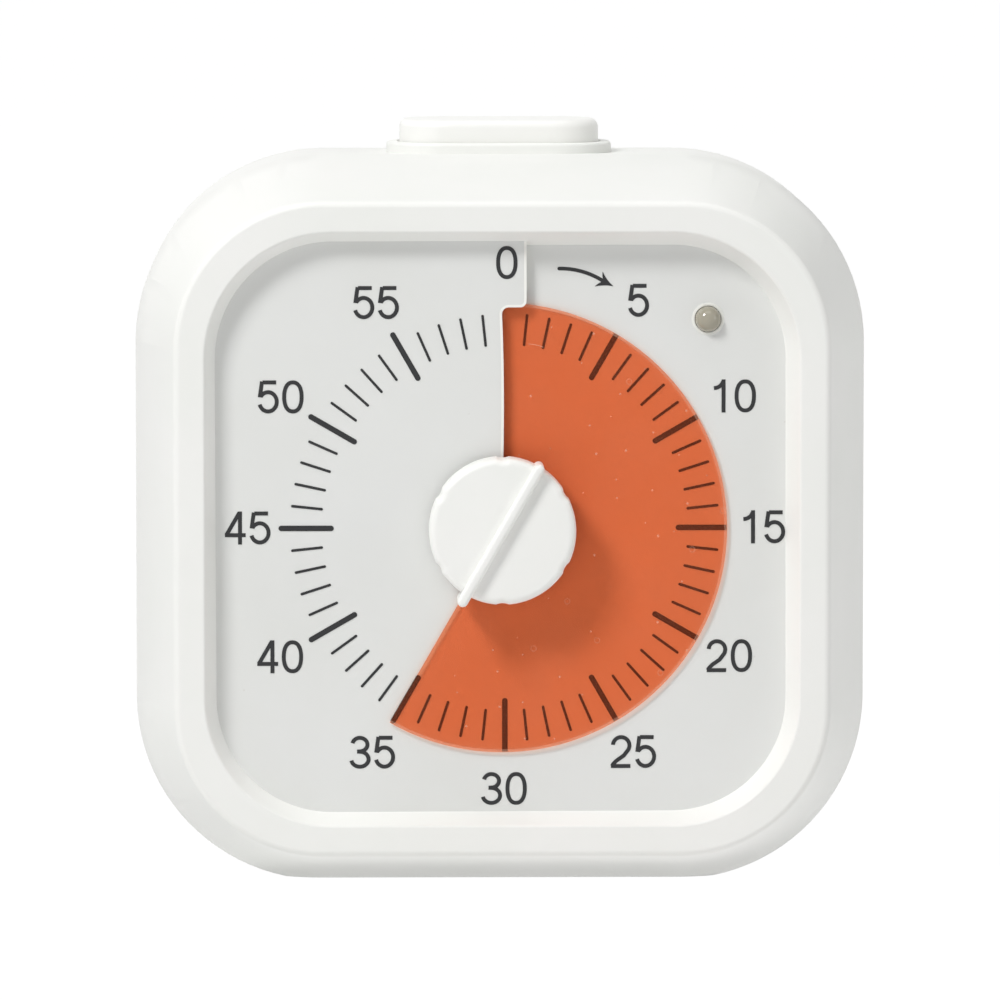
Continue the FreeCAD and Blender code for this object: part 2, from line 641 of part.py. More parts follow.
def make_clutch_washer():
    """A dished ring of spring steel that presses the centre wheel against the shoulder."""
    cones = []
    for forward in (0.0, WASHER_SHEET):
        wires = []
        for radius, height in ((WASHER_R, -CENTRE_WHEEL_BACK - CLOSE), (SHOULDER_R, -CLUTCH_RING_FRONT)):
            points = ring_of_points(radius, Vector(0, 0, height + forward), ALONG_Z, SOME)
            wires.append(Part.makePolygon(points + points[:1]))
        cones.append(Part.makeLoft(wires, True, True))
    dish = cones[0].cut(cones[1])
    return dish.cut(bore(SPINDLE_R + SCREW_GAP, 0.0, -BODY_DEPTH, sides=SOME))


def make_clutch_ring():
    ring = bar(CLUTCH_RING_R, -CLUTCH_RING_FRONT, -CLUTCH_RING_BACK, sides=SOME)
    return ring.cut(bar(SPINDLE_R, 0.0, -BODY_DEPTH, sides=SOME))


# Movement

def away(start, distance, degrees):
    turn = math.radians(degrees)
    return (start[0] + distance * math.cos(turn), start[1] + distance * math.sin(turn))


def heading(start, end):
    return math.atan2(end[1] - start[1], end[0] - start[0])


def spacing(module, wheel_teeth):
    return module * (wheel_teeth + PINION_TEETH) / 2


CENTRE_AT = (0.0, 0.0)
THIRD_AT = away(CENTRE_AT, spacing(CENTRE_MODULE, CENTRE_TEETH), 225)
SECONDS_AT = away(THIRD_AT, spacing(FINE_MODULE, THIRD_TEETH), 135)
INTERMEDIATE_AT = away(SECONDS_AT, spacing(FINE_MODULE, SECONDS_TEETH), 75)
ROTOR_AT = away(INTERMEDIATE_AT, spacing(FINE_MODULE, INTERMEDIATE_TEETH), 20)


def toothed(teeth, module, shape, depths, centre, phase):
    """A spur wheel or a pinion with pointed teeth. phase is the direction of one tooth."""
    root_share, addendum, dedendum = shape
    pitch_r = module * teeth / 2
    root_r, tip_r = pitch_r - dedendum * module, pitch_r + addendum * module
    half_root = root_share * math.pi * module / 2 / root_r
    corners = ((root_r, -half_root), (tip_r, 0.0), (root_r, half_root))
    points = []
    for i in range(teeth):
        middle = phase + 2 * math.pi * i / teeth
        for radius, turn in corners:
            x = centre[0] + radius * math.cos(middle + turn)
            y = centre[1] + radius * math.sin(middle + turn)
            points.append(Vector(x, y, -depths[0]))
    face = Part.Face(Part.makePolygon(points + points[:1]))
    return face.extrude(Vector(0, 0, depths[0] - depths[1]))


def pinion(module, depths, centre, driven):
    """A pinion with a gap towards the wheel that it drives."""
    phase = heading(centre, driven) + math.pi / PINION_TEETH
    return toothed(PINION_TEETH, module, PINION_TOOTH, depths, centre, phase)


def arbor(centre):
    return bar(ARBOR_R, -ARBOR_FRONT, -ARBOR_BACK, *centre)


def make_centre_wheel():
    depths = (CENTRE_WHEEL_FRONT + CLOSE, CENTRE_WHEEL_BACK)
    phase = heading(CENTRE_AT, THIRD_AT)
    wheel = toothed(CENTRE_TEETH, CENTRE_MODULE, WHEEL_TOOTH, depths, CENTRE_AT, phase)
    return wheel.cut(bore(SPINDLE_R + RUNNING_GAP, 0.0, -BODY_DEPTH, sides=SOME))


def make_third_wheel():
    phase = heading(THIRD_AT, SECONDS_AT)
    wheel = toothed(THIRD_TEETH, FINE_MODULE, WHEEL_TOOTH, THIRD_DEPTHS, THIRD_AT, phase)
    return join([wheel, pinion(CENTRE_MODULE, THIRD_PINION_DEPTHS, THIRD_AT, CENTRE_AT), arbor(THIRD_AT)])


def make_seconds_wheel():
    phase = heading(SECONDS_AT, INTERMEDIATE_AT)
    wheel = toothed(SECONDS_TEETH, FINE_MODULE, WHEEL_TOOTH, SECONDS_DEPTHS, SECONDS_AT, phase)
    return join([wheel, pinion(FINE_MODULE, SECONDS_PINION_DEPTHS, SECONDS_AT, THIRD_AT), arbor(SECONDS_AT)])


def make_intermediate_wheel():
    phase = heading(INTERMEDIATE_AT, ROTOR_AT)
    wheel = toothed(INTERMEDIATE_TEETH, FINE_MODULE, WHEEL_TOOTH, INTERMEDIATE_DEPTHS, INTERMEDIATE_AT, phase)
    small = pinion(FINE_MODULE, INTERMEDIATE_PINION_DEPTHS, INTERMEDIATE_AT, SECONDS_AT)
    return join([wheel, small, arbor(INTERMEDIATE_AT)])


def make_rotor():
    magnet = bar(MAGNET_R, -MAGNET_DEPTHS[0], -MAGNET_DEPTHS[1], *ROTOR_AT, MANY)
    small = pinion(FINE_MODULE, ROTOR_PINION_DEPTHS, ROTOR_AT, INTERMEDIATE_AT)
    return join([small, magnet, arbor(ROTOR_AT)])


def movement_plate(depth0, depth1, inset=0.0):
    """A block with the outline of the movement, its corners clipped."""
    half_x, half_y = MOVEMENT_HALF[0] - inset, MOVEMENT_HALF[1] - inset
    clip = MOVEMENT_CLIP - inset / 2
    corner = [(half_x, half_y - clip), (half_x - clip, half_y)]
    mid_x, mid_y = MOVEMENT_MIDDLE
    points = []
    for side_x, side_y in ((1, 1), (-1, 1), (-1, -1), (1, -1)):
        run = corner if side_x * side_y > 0 else corner[::-1]
        points += [Vector(mid_x + side_x * x, mid_y + side_y * y, -depth0) for x, y in run]
    return Part.Face(Part.makePolygon(points + points[:1])).extrude(Vector(0, 0, depth0 - depth1))


def pivot_holes():
    places = [THIRD_AT, SECONDS_AT, INTERMEDIATE_AT, ROTOR_AT]
    return [bore(ARBOR_R + RUNNING_GAP, -ARBOR_FRONT + PLAY, -ARBOR_BACK - PLAY, *place) for place in places]


def make_movement_frame():
    shell = movement_plate(CARRIER_BACK, COVER_FRONT)
    inside = movement_plate(CARRIER_BACK + MOVEMENT_WALL, COVER_FRONT, MOVEMENT_WALL)
    pipe = bar(PIPE_R, -PIPE_FRONT, -CARRIER_BACK - MOVEMENT_WALL, sides=SOME)
    ears = []
    holes = [bore(SPINDLE_R + RUNNING_GAP, 0.0, -BODY_DEPTH, sides=SOME)] + pivot_holes()
    for x, y in MOVEMENT_SCREWS:
        ears.append(box(x - EAR_HALF, x + EAR_HALF, y - EAR_HALF, y + EAR_HALF, -CARRIER_BACK, -EAR_BACK))
        holes.append(screw_hole(SMALL_SHANK_R + SLIP_GAP, 0.0, -EAR_BACK - PAST, x, y))
    return cut_all(join([shell.cut(inside), pipe] + ears), holes)


def make_movement_cover():
    holes = [bore(SPINDLE_PIVOT_R + RUNNING_GAP, 0.0, -BODY_DEPTH)] + pivot_holes()
    holes += [bore(COIL_LEAD_R + PLAY, 0.0, -BODY_DEPTH, x, COIL_Y) for x in COIL_TERMINALS]
    return cut_all(movement_plate(COVER_FRONT, MOVEMENT_BACK), holes)


def make_stator():
    """A soft iron circuit: an eye round the rotor, a core through the coil, and a return bar."""
    x, y = ROTOR_AT
    depths = (-STATOR_FRONT, -STATOR_BACK)
    left = x - EYE_R + PAST
    return_low = STATOR_TOP - 2 * CORE_HALF
    core_low, core_high = COIL_Y - CORE_HALF, COIL_Y + CORE_HALF
    bars = [
        bar(EYE_R, *depths, x, y, MANY),
        box(x + EYE_R - PAST, STATOR_RIGHT, core_low, core_high, *depths),
        box(STATOR_RIGHT - LIMB, STATOR_RIGHT, core_low, STATOR_TOP, *depths),
        box(left, STATOR_RIGHT, return_low, STATOR_TOP, *depths),
        box(left, left + LIMB, y, STATOR_TOP, *depths),
    ]
    return join(bars).cut(bore(MAGNET_R + AIR_GAP, 0.0, -BODY_DEPTH, x, y, MANY))


def make_coil():
    """A winding between two flanges, with a slot through it for the stator's core."""
    start = Vector(COIL_START, COIL_Y, -COIL_DEPTH)
    flange_at = [start, start + ALONG_X * (COIL_LENGTH - COIL_FLANGE)]
    pieces = [many_sided(COIL_R, COIL_LENGTH, start, ALONG_X, SOME)]
    pieces += [many_sided(COIL_FLANGE_R, COIL_FLANGE, place, ALONG_X, SOME) for place in flange_at]
    half = CORE_HALF + CLOSE
    slot = box(COIL_START - PAST, COIL_START + COIL_LENGTH + PAST, COIL_Y - half, COIL_Y + half,
               -STATOR_FRONT + CLOSE, -STATOR_BACK - CLOSE)
    return join(pieces).cut(slot)


def make_coil_leads():
    back = COIL_DEPTH + COIL_R
    return Part.makeCompound([bar(COIL_LEAD_R, -back, -BOARD_FRONT, x, COIL_Y) for x in COIL_TERMINALS])


# Electronics

def lamp_legs(margin=0.0):
    x, y = LAMP_AT
    half = LEG_HALF + margin
    tail = -BOARD_BACK - LEG_TAIL
    return [box(x + side - half, x + side + half, y - half, y + half, -CARRIER_BACK, tail)
            for side in (-LEG_SPREAD, LEG_SPREAD)]


def make_circuit_board():
    board = box(*BOARD, -BOARD_FRONT, -BOARD_BACK)
    holes = [screw_hole(SMALL_SHANK_R + SLIP_GAP, 0.0, -BODY_DEPTH, x, y) for x, y in BOARD_POSTS]
    return cut_all(board, holes + lamp_legs(CLOSE))


def make_control_chip():
    return box(*CHIP, -BOARD_BACK, -BOARD_BACK - CHIP_HEIGHT)


def make_crystal():
    return many_sided(CRYSTAL_R, CRYSTAL_LENGTH, Vector(*CRYSTAL_AT, -BOARD_BACK - CRYSTAL_R), ALONG_X, SOME)


def make_led():
    x, y = LAMP_AT
    top = LAMP_PROUD - DIAL_RECESS
    dome = [Vector(LAMP_R - inset, 0, top - below) for inset, below in reversed(rounding(LAMP_R, DOME_STEPS))]
    profile = [Vector(0, 0, -LAMP_RIM_BACK), Vector(LAMP_R, 0, -LAMP_RIM_BACK)] + dome
    lens = Part.Face(Part.makePolygon(profile + profile[:1])).revolve(Vector(0, 0, 0), ALONG_Z, 360)
    lens.translate(Vector(x, y, 0))
    rim = bar(LAMP_RIM_R, -CARRIER_BACK, -LAMP_RIM_BACK, x, y, SOME)
    return join([lens, rim] + lamp_legs())


def make_buzzer():
    back = -BOARD_BACK - BUZZER_HEIGHT
    can = bar(BUZZER_R, -BOARD_BACK, back, *BUZZER_AT, MANY)
    return can.cut(bore(BUZZER_HOLE_R, back + PAST, back - PAST, *BUZZER_AT))


def make_tact_switch():
    body = box(-SWITCH_HALF, SWITCH_HALF, SWITCH_LOW, SWITCH_TOP, -BOARD_BACK, -BOARD_BACK - SWITCH_DEPTH)
    well_depth = STEM_DIP + BUTTON_TRAVEL + PLAY
    foot = Vector(0, SWITCH_TOP - well_depth, -BUTTON_DEPTH)
    return body.cut(many_sided(STEM_R + PLAY, well_depth + PAST, foot, ALONG_Y, FEW))


def make_switch_stem():
    low = SWITCH_TOP - STEM_DIP
    return many_sided(STEM_R, POST_END - low, Vector(0, low, -BUTTON_DEPTH), ALONG_Y, FEW)


# Battery bay

def make_battery_cell(row):
    """One of the two cells. They lie head to tail."""
    side = -1 if row == 0 else 1
    inwards = ALONG_X * -side
    head = Vector(side * (BAY_HALF - CONTACT), CELL_ROWS[row], -CELL_DEPTH)
    can = Part.makeCylinder(CELL_R, CELL_LENGTH - NUB_LENGTH, head + inwards * NUB_LENGTH, inwards)
    return can.fuse(many_sided(NUB_R, 2 * NUB_LENGTH, head, inwards, SOME))


def make_battery_contacts():
    z0, z1 = -CONTACT_DEPTHS[0], -CONTACT_DEPTHS[1]
    pieces = []
    for y in CELL_ROWS:
        plate = box(-BAY_HALF, -BAY_HALF + CONTACT, y - CONTACT_HALF, y + CONTACT_HALF, z0, z1)
        tail = box(-BAY_HALF, -BAY_HALF + CONTACT, y - TAIL_HALF, y + TAIL_HALF, -TAIL_END, z0)
        pieces.append(plate.fuse(tail))
    pieces.append(box(BAY_HALF - CONTACT, BAY_HALF, CELL_ROWS[1] - CONTACT_HALF, CELL_ROWS[0] + CONTACT_HALF,
                      z0, z1))
    return Part.makeCompound(pieces)


def wire_along(points, radius, sides):
    """A wire along straight steps, mitred where it turns, which keeps its faces flat."""
    ring = ring_of_points(radius, points[0], direction(points[0], points[1]), sides)
    rings = [ring]
    for i in range(1, len(points)):
        along = direction(points[i - 1], points[i])
        onward = direction(points[i], points[i + 1]) if i + 1 < len(points) else along
        mitre = along + onward
        ring = [spot + along * ((points[i] - spot).dot(mitre) / along.dot(mitre)) for spot in ring]
        rings.append(ring)
    outlines = [rings[0][::-1], rings[-1]]
    for low, high in zip(rings, rings[1:]):
        for j in range(sides):
            k = (j + 1) % sides
            outlines.append([low[j], low[k], high[k], high[j]])
    faces = [Part.Face(Part.makePolygon(corners + corners[:1])) for corners in outlines]
    return Part.makeSolid(Part.makeShell(faces))


def direction(start, end):
    return (end - start).normalize()


def bent(points, bend_r):
    """The same route with its corners rounded in short straight steps."""
    route = [points[0]]
    for before, corner, after in zip(points, points[1:], points[2:]):
        back, on = direction(corner, before), direction(corner, after)
        inwards = (back + on).normalize()
        sideways = (on - back).normalize()
        half_turn = (math.pi - back.getAngle(on)) / 2
        centre = corner + inwards * (bend_r / math.cos(half_turn))
        for i in range(BEND_STEPS + 1):
            turn = half_turn * (2 * i / BEND_STEPS - 1)
            route.append(centre - inwards * (bend_r * math.cos(turn)) + sideways * (bend_r * math.sin(turn)))
    return route + [points[-1]]


def contact_spring(side, y):
    """A conical spring from an end contact to the flat end of a cell, wide at the contact."""
    room = 2 * BAY_HALF - 2 * CONTACT - CELL_LENGTH
    start = side * (BAY_HALF - CONTACT - room + SPRING_WIRE_R)
    rise = side * (room - 2 * SPRING_WIRE_R)
    points = []
    for i in range(SPRING_TURNS * SPRING_STEPS + 1):
        share = i / (SPRING_TURNS * SPRING_STEPS)
        radius = SPRING_NARROW_R + (SPRING_WIDE_R - SPRING_NARROW_R) * share
        turn = 2 * math.pi * i / SPRING_STEPS
        points.append(Vector(start + rise * share, y + radius * math.cos(turn),
                             -CELL_DEPTH + radius * math.sin(turn)))
    return wire_along(points, SPRING_WIRE_R, 4)


def make_battery_springs():
    return Part.makeCompound([contact_spring(1, CELL_ROWS[0]), contact_spring(-1, CELL_ROWS[1])])


def make_battery_leads():
    """Two wires from the contacts' tails, up in front of the bay, to the lower edge of the board."""
    tail_x = -BAY_HALF + CONTACT / 2
    board_y = BOARD[2] + LEAD_INSET
    wires = []
    for y, aside in zip(CELL_ROWS, LEAD_ASIDE):
        x = tail_x + aside
        route = [
            Vector(tail_x, y, -TAIL_END),
            Vector(tail_x, y, -LEAD_DEPTH),
            Vector(x, y + LEAD_SWAY, -LEAD_DEPTH),
            Vector(x, board_y, -LEAD_DEPTH),
            Vector(x, board_y, -BOARD_FRONT),
        ]
        wires.append(wire_along(bent(route, LEAD_BEND_R), LEAD_R, LEAST))
    return Part.makeCompound(wires)


# Fasteners

def screw(head_r, head_front, head_height, shank_r, tip, x, y):
    """A screw with its head towards the back."""
    head = bar(head_r, -head_front, -head_front - head_height, x, y, FEW)
    return head.fuse(bar(shank_r, -tip, -head_front, x, y, LEAST))


def small_screws(places, head_front, tip):
    screws = [screw(SMALL_HEAD_R, head_front, SMALL_HEAD_HEIGHT, SMALL_SHANK_R, tip, x, y) for x, y in places]
    return Part.makeCompound(screws)


def make_case_screws():
    size = (CASE_HEAD_R, CASE_HEAD_FRONT, CASE_HEAD_HEIGHT, CASE_SHANK_R, CASE_SCREW_TIP)
    return Part.makeCompound([screw(*size, x, y) for x, y in CASE_SCREWS])


# Button

def make_button_collar():
    flange = block(COLLAR_SIZE, COLLAR_CORNER_R, TOP_Y, TOP_Y + COLLAR_TOP, COLLAR_EDGE_R)
    sleeve = block(SLEEVE_SIZE, SLEEVE_CORNER_R, TOP_Y - SLEEVE_LENGTH, TOP_Y, flats=CORNER_STEPS)
    hole = block([side + 2 * BUTTON_GAP for side in CAP_SIZE], CAP_CORNER_R + BUTTON_GAP,
                 TOP_Y - SLEEVE_LENGTH - PAST, TOP_Y + COLLAR_TOP + PAST)
    return join([flange, sleeve]).cut(hole)


def make_button_cap():
    """A hollow cap. Its flange catches under the collar's sleeve, and its post stands on the switch."""
    top = TOP_Y + CAP_TOP
    low = TOP_Y - SLEEVE_LENGTH - PLAY
    foot = low - CAP_FLANGE_THICKNESS
    cap = block(CAP_SIZE, CAP_CORNER_R, low, top, CAP_EDGE_R)
    flange_size = [side + 2 * CAP_FLANGE for side in CAP_SIZE]
    flange = block(flange_size, CAP_CORNER_R + CAP_FLANGE, foot, low, flats=CORNER_STEPS)
    room_x, room_y = [side / 2 - CAP_CORNER_R / 2 for side in CAP_SIZE]
    room = box(-room_x, room_x, foot, top - CAP_WALL, room_y - BUTTON_DEPTH, -room_y - BUTTON_DEPTH)
    post_length = top - CAP_WALL / 2 - POST_END
    post = many_sided(POST_R, post_length, Vector(0, POST_END, -BUTTON_DEPTH), ALONG_Y, SOME)
    return join([cap, flange]).cut(room).fuse(post)


def stand(shape):
    """Stands a piece up: the front faces -Y, the base's middle is at the origin."""
    upright = FreeCAD.Placement(Vector(0, -BASE_MIDDLE, -BASE_Y), Rotation(ALONG_X, 90))
    stood = shape.copy()
    stood.Placement = upright.multiply(shape.Placement)
    return stood


def main():
    pieces = {
        "front_case": make_front_case(),
        "rear_case": make_rear_case(),
        "battery_door": make_battery_door(),
        "dial_plate": make_dial_plate(),
        "dial_carrier": make_dial_carrier(),
        "colour_disc": make_colour_disc(),
        "disc_hub": make_disc_hub(),
        "knob": make_knob(),
        "spindle": make_spindle(),
        "clutch_washer": make_clutch_washer(),
        "clutch_ring": make_clutch_ring(),
        "centre_wheel": make_centre_wheel(),
        "third_wheel": make_third_wheel(),
        "seconds_wheel": make_seconds_wheel(),
        "intermediate_wheel": make_intermediate_wheel(),
        "rotor": make_rotor(),
        "stator": make_stator(),
        "coil": make_coil(),
        "coil_leads": make_coil_leads(),
        "movement_frame": make_movement_frame(),
        "movement_cover": make_movement_cover(),
        "circuit_board": make_circuit_board(),
        "control_chip": make_control_chip(),
        "crystal": make_crystal(),
        "buzzer": make_buzzer(),
        "led": make_led(),
        "tact_switch": make_tact_switch(),
        "switch_stem": make_switch_stem(),
        "button_cap": make_button_cap(),
        "button_collar": make_button_collar(),
        "battery_cell_upper": make_battery_cell(0),
        "battery_cell_lower": make_battery_cell(1),
        "battery_contacts": make_battery_contacts(),
        "battery_springs": make_battery_springs(),
        "battery_leads": make_battery_leads(),
        "case_screws": make_case_screws(),
        "carrier_screws": small_screws(CARRIER_SCREWS, CARRIER_BACK, CARRIER_SCREW_TIP),
        "board_screws": small_screws(BOARD_POSTS, BOARD_BACK, BOARD_SCREW_TIP),
        "movement_screws": small_screws(MOVEMENT_SCREWS, EAR_BACK, MOVEMENT_SCREW_TIP),
    }
    os.makedirs("parts", exist_ok=True)
    for name, shape in pieces.items():
        stood = stand(shape)
        if not stood.isValid():
            print("not valid:", name)
        stood.exportStep(f"parts/{name}.step")


main()
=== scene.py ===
import json
import math

import bmesh
import bpy
from mathutils import Matrix, Vector


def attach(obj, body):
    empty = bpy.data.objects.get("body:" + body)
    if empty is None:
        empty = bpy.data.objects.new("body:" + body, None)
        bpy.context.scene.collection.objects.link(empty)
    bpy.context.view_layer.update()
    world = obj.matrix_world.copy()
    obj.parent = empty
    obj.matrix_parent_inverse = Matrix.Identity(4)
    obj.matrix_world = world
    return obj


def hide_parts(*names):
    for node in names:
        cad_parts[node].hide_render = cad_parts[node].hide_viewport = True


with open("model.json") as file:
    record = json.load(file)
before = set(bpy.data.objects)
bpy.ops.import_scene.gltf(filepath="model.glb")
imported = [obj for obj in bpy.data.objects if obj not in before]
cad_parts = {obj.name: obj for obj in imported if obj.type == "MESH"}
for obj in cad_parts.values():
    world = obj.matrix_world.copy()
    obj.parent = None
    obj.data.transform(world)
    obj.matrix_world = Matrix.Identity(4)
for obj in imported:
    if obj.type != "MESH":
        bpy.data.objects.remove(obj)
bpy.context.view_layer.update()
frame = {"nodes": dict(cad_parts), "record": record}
nodes = frame["nodes"]
bpy.ops.object.select_all(action="DESELECT")

# Sizes in millimetres, as in the front view of the timer: x to the right, y up, z towards the viewer,
# from the dial's axis in the plane of the front ring. Turns about the dial are in minutes, clockwise
# from zero.
MM = 0.001
MERGE = 0.0005  # vertices this close are one
NODE_MERGE = 0.002
RING_TO_MIDDLE = 24.25
AXIS_HEIGHT = 38.6
TOP_Y = 39.0
DIAL_RECESS = 2.9
DIAL_PITCH = 1.1
DIAL_LOW = -DIAL_RECESS - DIAL_PITCH / 2
SLIT_JOG_R = 23.4
SLIT_JOG_X = 2.6
DISC_R = 23.84
DISC_SHEET = 0.12
DISC_GAP = 0.3
DISC_CUT_MINUTES = 0.3
FILM_STEPS = 360
HUB_R = 3.0
HUB_BITE = 0.15  # how far the disc stands in its hub
REST_MINUTES = 35.0
KNOB_R = 7.75
KNOB_FACE = 2.4
KNOB_BACK = -1.5
KNOB_EDGE_R = 0.8
FLUTE_R = 1.6
FLUTE_DEPTH = 0.17
FLUTES = 6
BAR_WIDTH = 1.1
BAR_HEIGHT = 1.0
BAR_EDGE_R = 0.42
BAR_POINTER_REACH = 9.0
BAR_TAIL_REACH = 8.2
KNOB_STEPS = 360
BAR_STEPS = 48
EDGE_STEPS = 8
BUTTON_DEPTH = 24.0
CAP_SIZE = (21.4, 12.6)
CAP_CORNER_R = 5.0
CAP_EDGE_R = 0.9
CAP_TOP = 3.6
CAP_FLANGE = 0.75
CAP_FLANGE_THICKNESS = 1.2
COLLAR_SIZE = (24.2, 15.4)
COLLAR_CORNER_R = 6.4
COLLAR_TOP = 1.15
COLLAR_EDGE_R = 0.35
COLLAR_INNER_EDGE_R = 0.15
SLEEVE_LENGTH = 2.7
BUTTON_GAP = 0.15
SLIT_BOW = 0.2
SLIT_CORNER_R = 0.7
SLIT_START = 4.4
SLIT_TOP = 30.4
SLIT_STEPS = 24
CORNER_STEPS = 8
MARGIN_WIDTH = 0.27
MARGIN_OVERLAP = 0.01
MARGIN_LIFT = 0.012
MARGIN_THICKNESS = 0.01
CELL_R = 5.1
CELL_LENGTH = 44.5
CELL_DEPTH = 28.4
CELL_ROWS = (-8.4, -19.6)
CELL_BAND = 0.72  # the copper coloured band begins at this share of the length
NUB_R = 1.9
NUB_LENGTH = 1.0
BAY_HALF = 25.4
CONTACT = 0.4
SPRING_WIRE_R = 0.3
SPRING_NARROW_R = 1.7
SPRING_WIDE_R = 3.3
SPRING_TURNS = 3
SPRING_STEPS = 16  # to a turn
CASE_SCREWS = [(33.2, 20.0), (-33.2, 20.0), (33.2, -20.0), (-33.2, -20.0)]
CASE_HEAD_R = 2.1
CASE_HEAD_FRONT = 33.8
CASE_HEAD_HEIGHT = 1.3
CASE_HEAD_EDGE_R = 0.6
CASE_SHANK_R = 1.1
CASE_POINT_R = 0.3
CASE_POINT_LENGTH = 1.6
CROSS_SIZE = (2.4, 0.42, 1.5)
CROSS_TAPER = 0.35
CASE_SCREW_TIP = 25.0
LAMP_AT = (21.8, 22.1)
LAMP_R = 1.5
LENS_R = 1.36
LAMP_PROUD = 1.0
LAMP_BACK = -8.1
LAMP_RIM = 0.22
LAMP_RIM_RISE = 0.07
PRINT_SHIFT = 0.3  # the print lies this far to the right of the knob's axis
PRINT_LIFT = 0.03
TICK_INNER_LONG, TICK_INNER_SHORT = 18.1, 19.35
TICK_OUTER_LONG, TICK_OUTER_SHORT = 23.95, 22.75
TICK_WIDTH_LONG, TICK_WIDTH_SHORT = 0.58, 0.28
TICK_THICKNESS = 0.01
INK_THICKNESS = 0.008
INK_STEP = 0.0015  # keeps strokes that cross from lying in one plane
RIM_CLEAR = 0.04

FRONT_VIEW = (Matrix.Translation((0, -RING_TO_MIDDLE * MM, AXIS_HEIGHT * MM))
              @ Matrix.Rotation(math.radians(90), 4, "X") @ Matrix.Scale(MM, 4))
ON_TOP = (Matrix.Translation((0, (BUTTON_DEPTH - RING_TO_MIDDLE) * MM, (AXIS_HEIGHT + TOP_Y) * MM))
          @ Matrix.Scale(MM, 4))


# Shader maths

class Link:
    """The value of a socket, so that a material's maths reads as a sum."""

    def __init__(self, finish, socket):
        self.finish = finish
        self.socket = socket

    def maths(self, operation, first, second):
        return self.finish.node("ShaderNodeMath", {"operation": operation}, {0: first, 1: second})

    def __add__(self, other):
        return self.maths("ADD", self, other)

    def __sub__(self, other):
        return self.maths("SUBTRACT", self, other)

    def __rsub__(self, other):
        return self.maths("SUBTRACT", other, self)

    def __mul__(self, other):
        return self.maths("MULTIPLY", self, other)

    def __lt__(self, other):
        return self.maths("LESS_THAN", self, other)

    def __gt__(self, other):
        return self.maths("GREATER_THAN", self, other)

    __radd__ = __add__
    __rmul__ = __mul__


class Finish:
    """The nodes of a material, or of the world."""

    def __init__(self, name, world=False):
        self.owner = bpy.data.worlds.new(name) if world else bpy.data.materials.new(name)
        self.output = "ShaderNodeOutputWorld" if world else "ShaderNodeOutputMaterial"
        self.owner.use_nodes = True
        self.tree = self.owner.node_tree
        self.tree.nodes.clear()
        if not world:
            self.place = self.node("ShaderNodeTexCoord", {}, {}, "Object")

    def node(self, kind, settings, sockets, out=0):
        made = self.tree.nodes.new(kind)
        for name, value in settings.items():
            if name == "stops":
                for _ in value[2:]:
                    made.color_ramp.elements.new(0.5)
                for element, (position, shade) in zip(made.color_ramp.elements, value):
                    element.position = position
                    element.color = (shade, shade, shade, 1)
            else:
                setattr(made, name, value)
        for name, value in sockets.items():
            if isinstance(value, Link):
                self.tree.links.new(value.socket, made.inputs[name])
            else:
                made.inputs[name].default_value = value
        return Link(self, made.outputs[out])

    def noise(self, scale, detail=3.0, roughness=0.55, place=None):
        sockets = {"Vector": place or self.place, "Scale": scale, "Detail": detail, "Roughness": roughness}
        return self.node("ShaderNodeTexNoise", {}, sockets)

    def ramp(self, value, *stops):
        return self.node("ShaderNodeValToRGB", {"stops": stops}, {"Fac": value})

    def mix(self, share, first, second):
        """A colour between two colours."""
        return self.node("ShaderNodeMix", {"data_type": "RGBA"}, {0: share, 6: first, 7: second}, 2)

    def stretched(self, *scales):
        sockets = {"Vector": self.place, "Scale": scales}
        return self.node("ShaderNodeMapping", {}, sockets)

    def bump(self, height, distance, strength=1.0, under=None):
        sockets = {"Height": height, "Distance": distance, "Strength": strength}
        if under:
            sockets["Normal"] = under
        return self.node("ShaderNodeBump", {}, sockets)

    def surface(self, **sockets):
        named = {name.replace("_", " "): value for name, value in sockets.items()}
        return self.node("ShaderNodeBsdfPrincipled", {}, named)

    def cells(self, scale, out, place=None):
        """The distance from scattered points, or the colour that each of them has by chance."""
        kind = {"feature": "F1", "voronoi_dimensions": "2D" if place else "3D"}
        sockets = {"Vector": place or self.place, "Scale": scale}
        return self.node("ShaderNodeTexVoronoi", kind, sockets, out)

    def measure(self, operation, *vectors):
        """A length or a distance."""
        sockets = dict(enumerate(vectors))
        return self.node("ShaderNodeVectorMath", {"operation": operation}, sockets, "Value")

    def seen(self):
        """One for what is seen, straight, in a reflection or through glass, and nothing for what lights."""
        rays = ("Is Camera Ray", "Is Glossy Ray", "Is Transmission Ray")
        straight, reflected, through = (self.node("ShaderNodeLightPath", {}, {}, ray) for ray in rays)
        return straight + reflected + through

    def done(self, shader):
        self.tree.links.new(shader.socket, self.tree.nodes.new(self.output).inputs["Surface"])
        return self.owner


def rgb(red, green, blue):
    """A colour given as it looks on a screen, 0 to 255."""
    straight = []
    for level in (red, green, blue):
        share = level / 255
        straight.append(share / 12.92 if share <= 0.04045 else ((share + 0.055) / 1.055) ** 2.4)
    return (*straight, 1)


CLOUDS = 55  # scales of noise are to a metre
PATCHES = 260


def moulded(name, colour, tint, roughness=0.45, grain=5200, depth=0.000012, coat=0.0):
    """Moulded plastic: slight clouding in the colour, a fine grain, and patches a little more polished."""
    f = Finish(name)
    clouds = f.noise(CLOUDS, 4)
    fine = f.noise(grain, 2)
    shade = f.mix(f.ramp(clouds, (0.35, 0.0), (0.65, 1.0)), colour, tint)
    rough = f.noise(PATCHES, 3) * 0.12 + (roughness - 0.06)
    normal = f.bump(fine, depth, 0.35)
    return f.done(f.surface(Base_Color=shade, Roughness=rough, Normal=normal, Coat_Weight=coat))


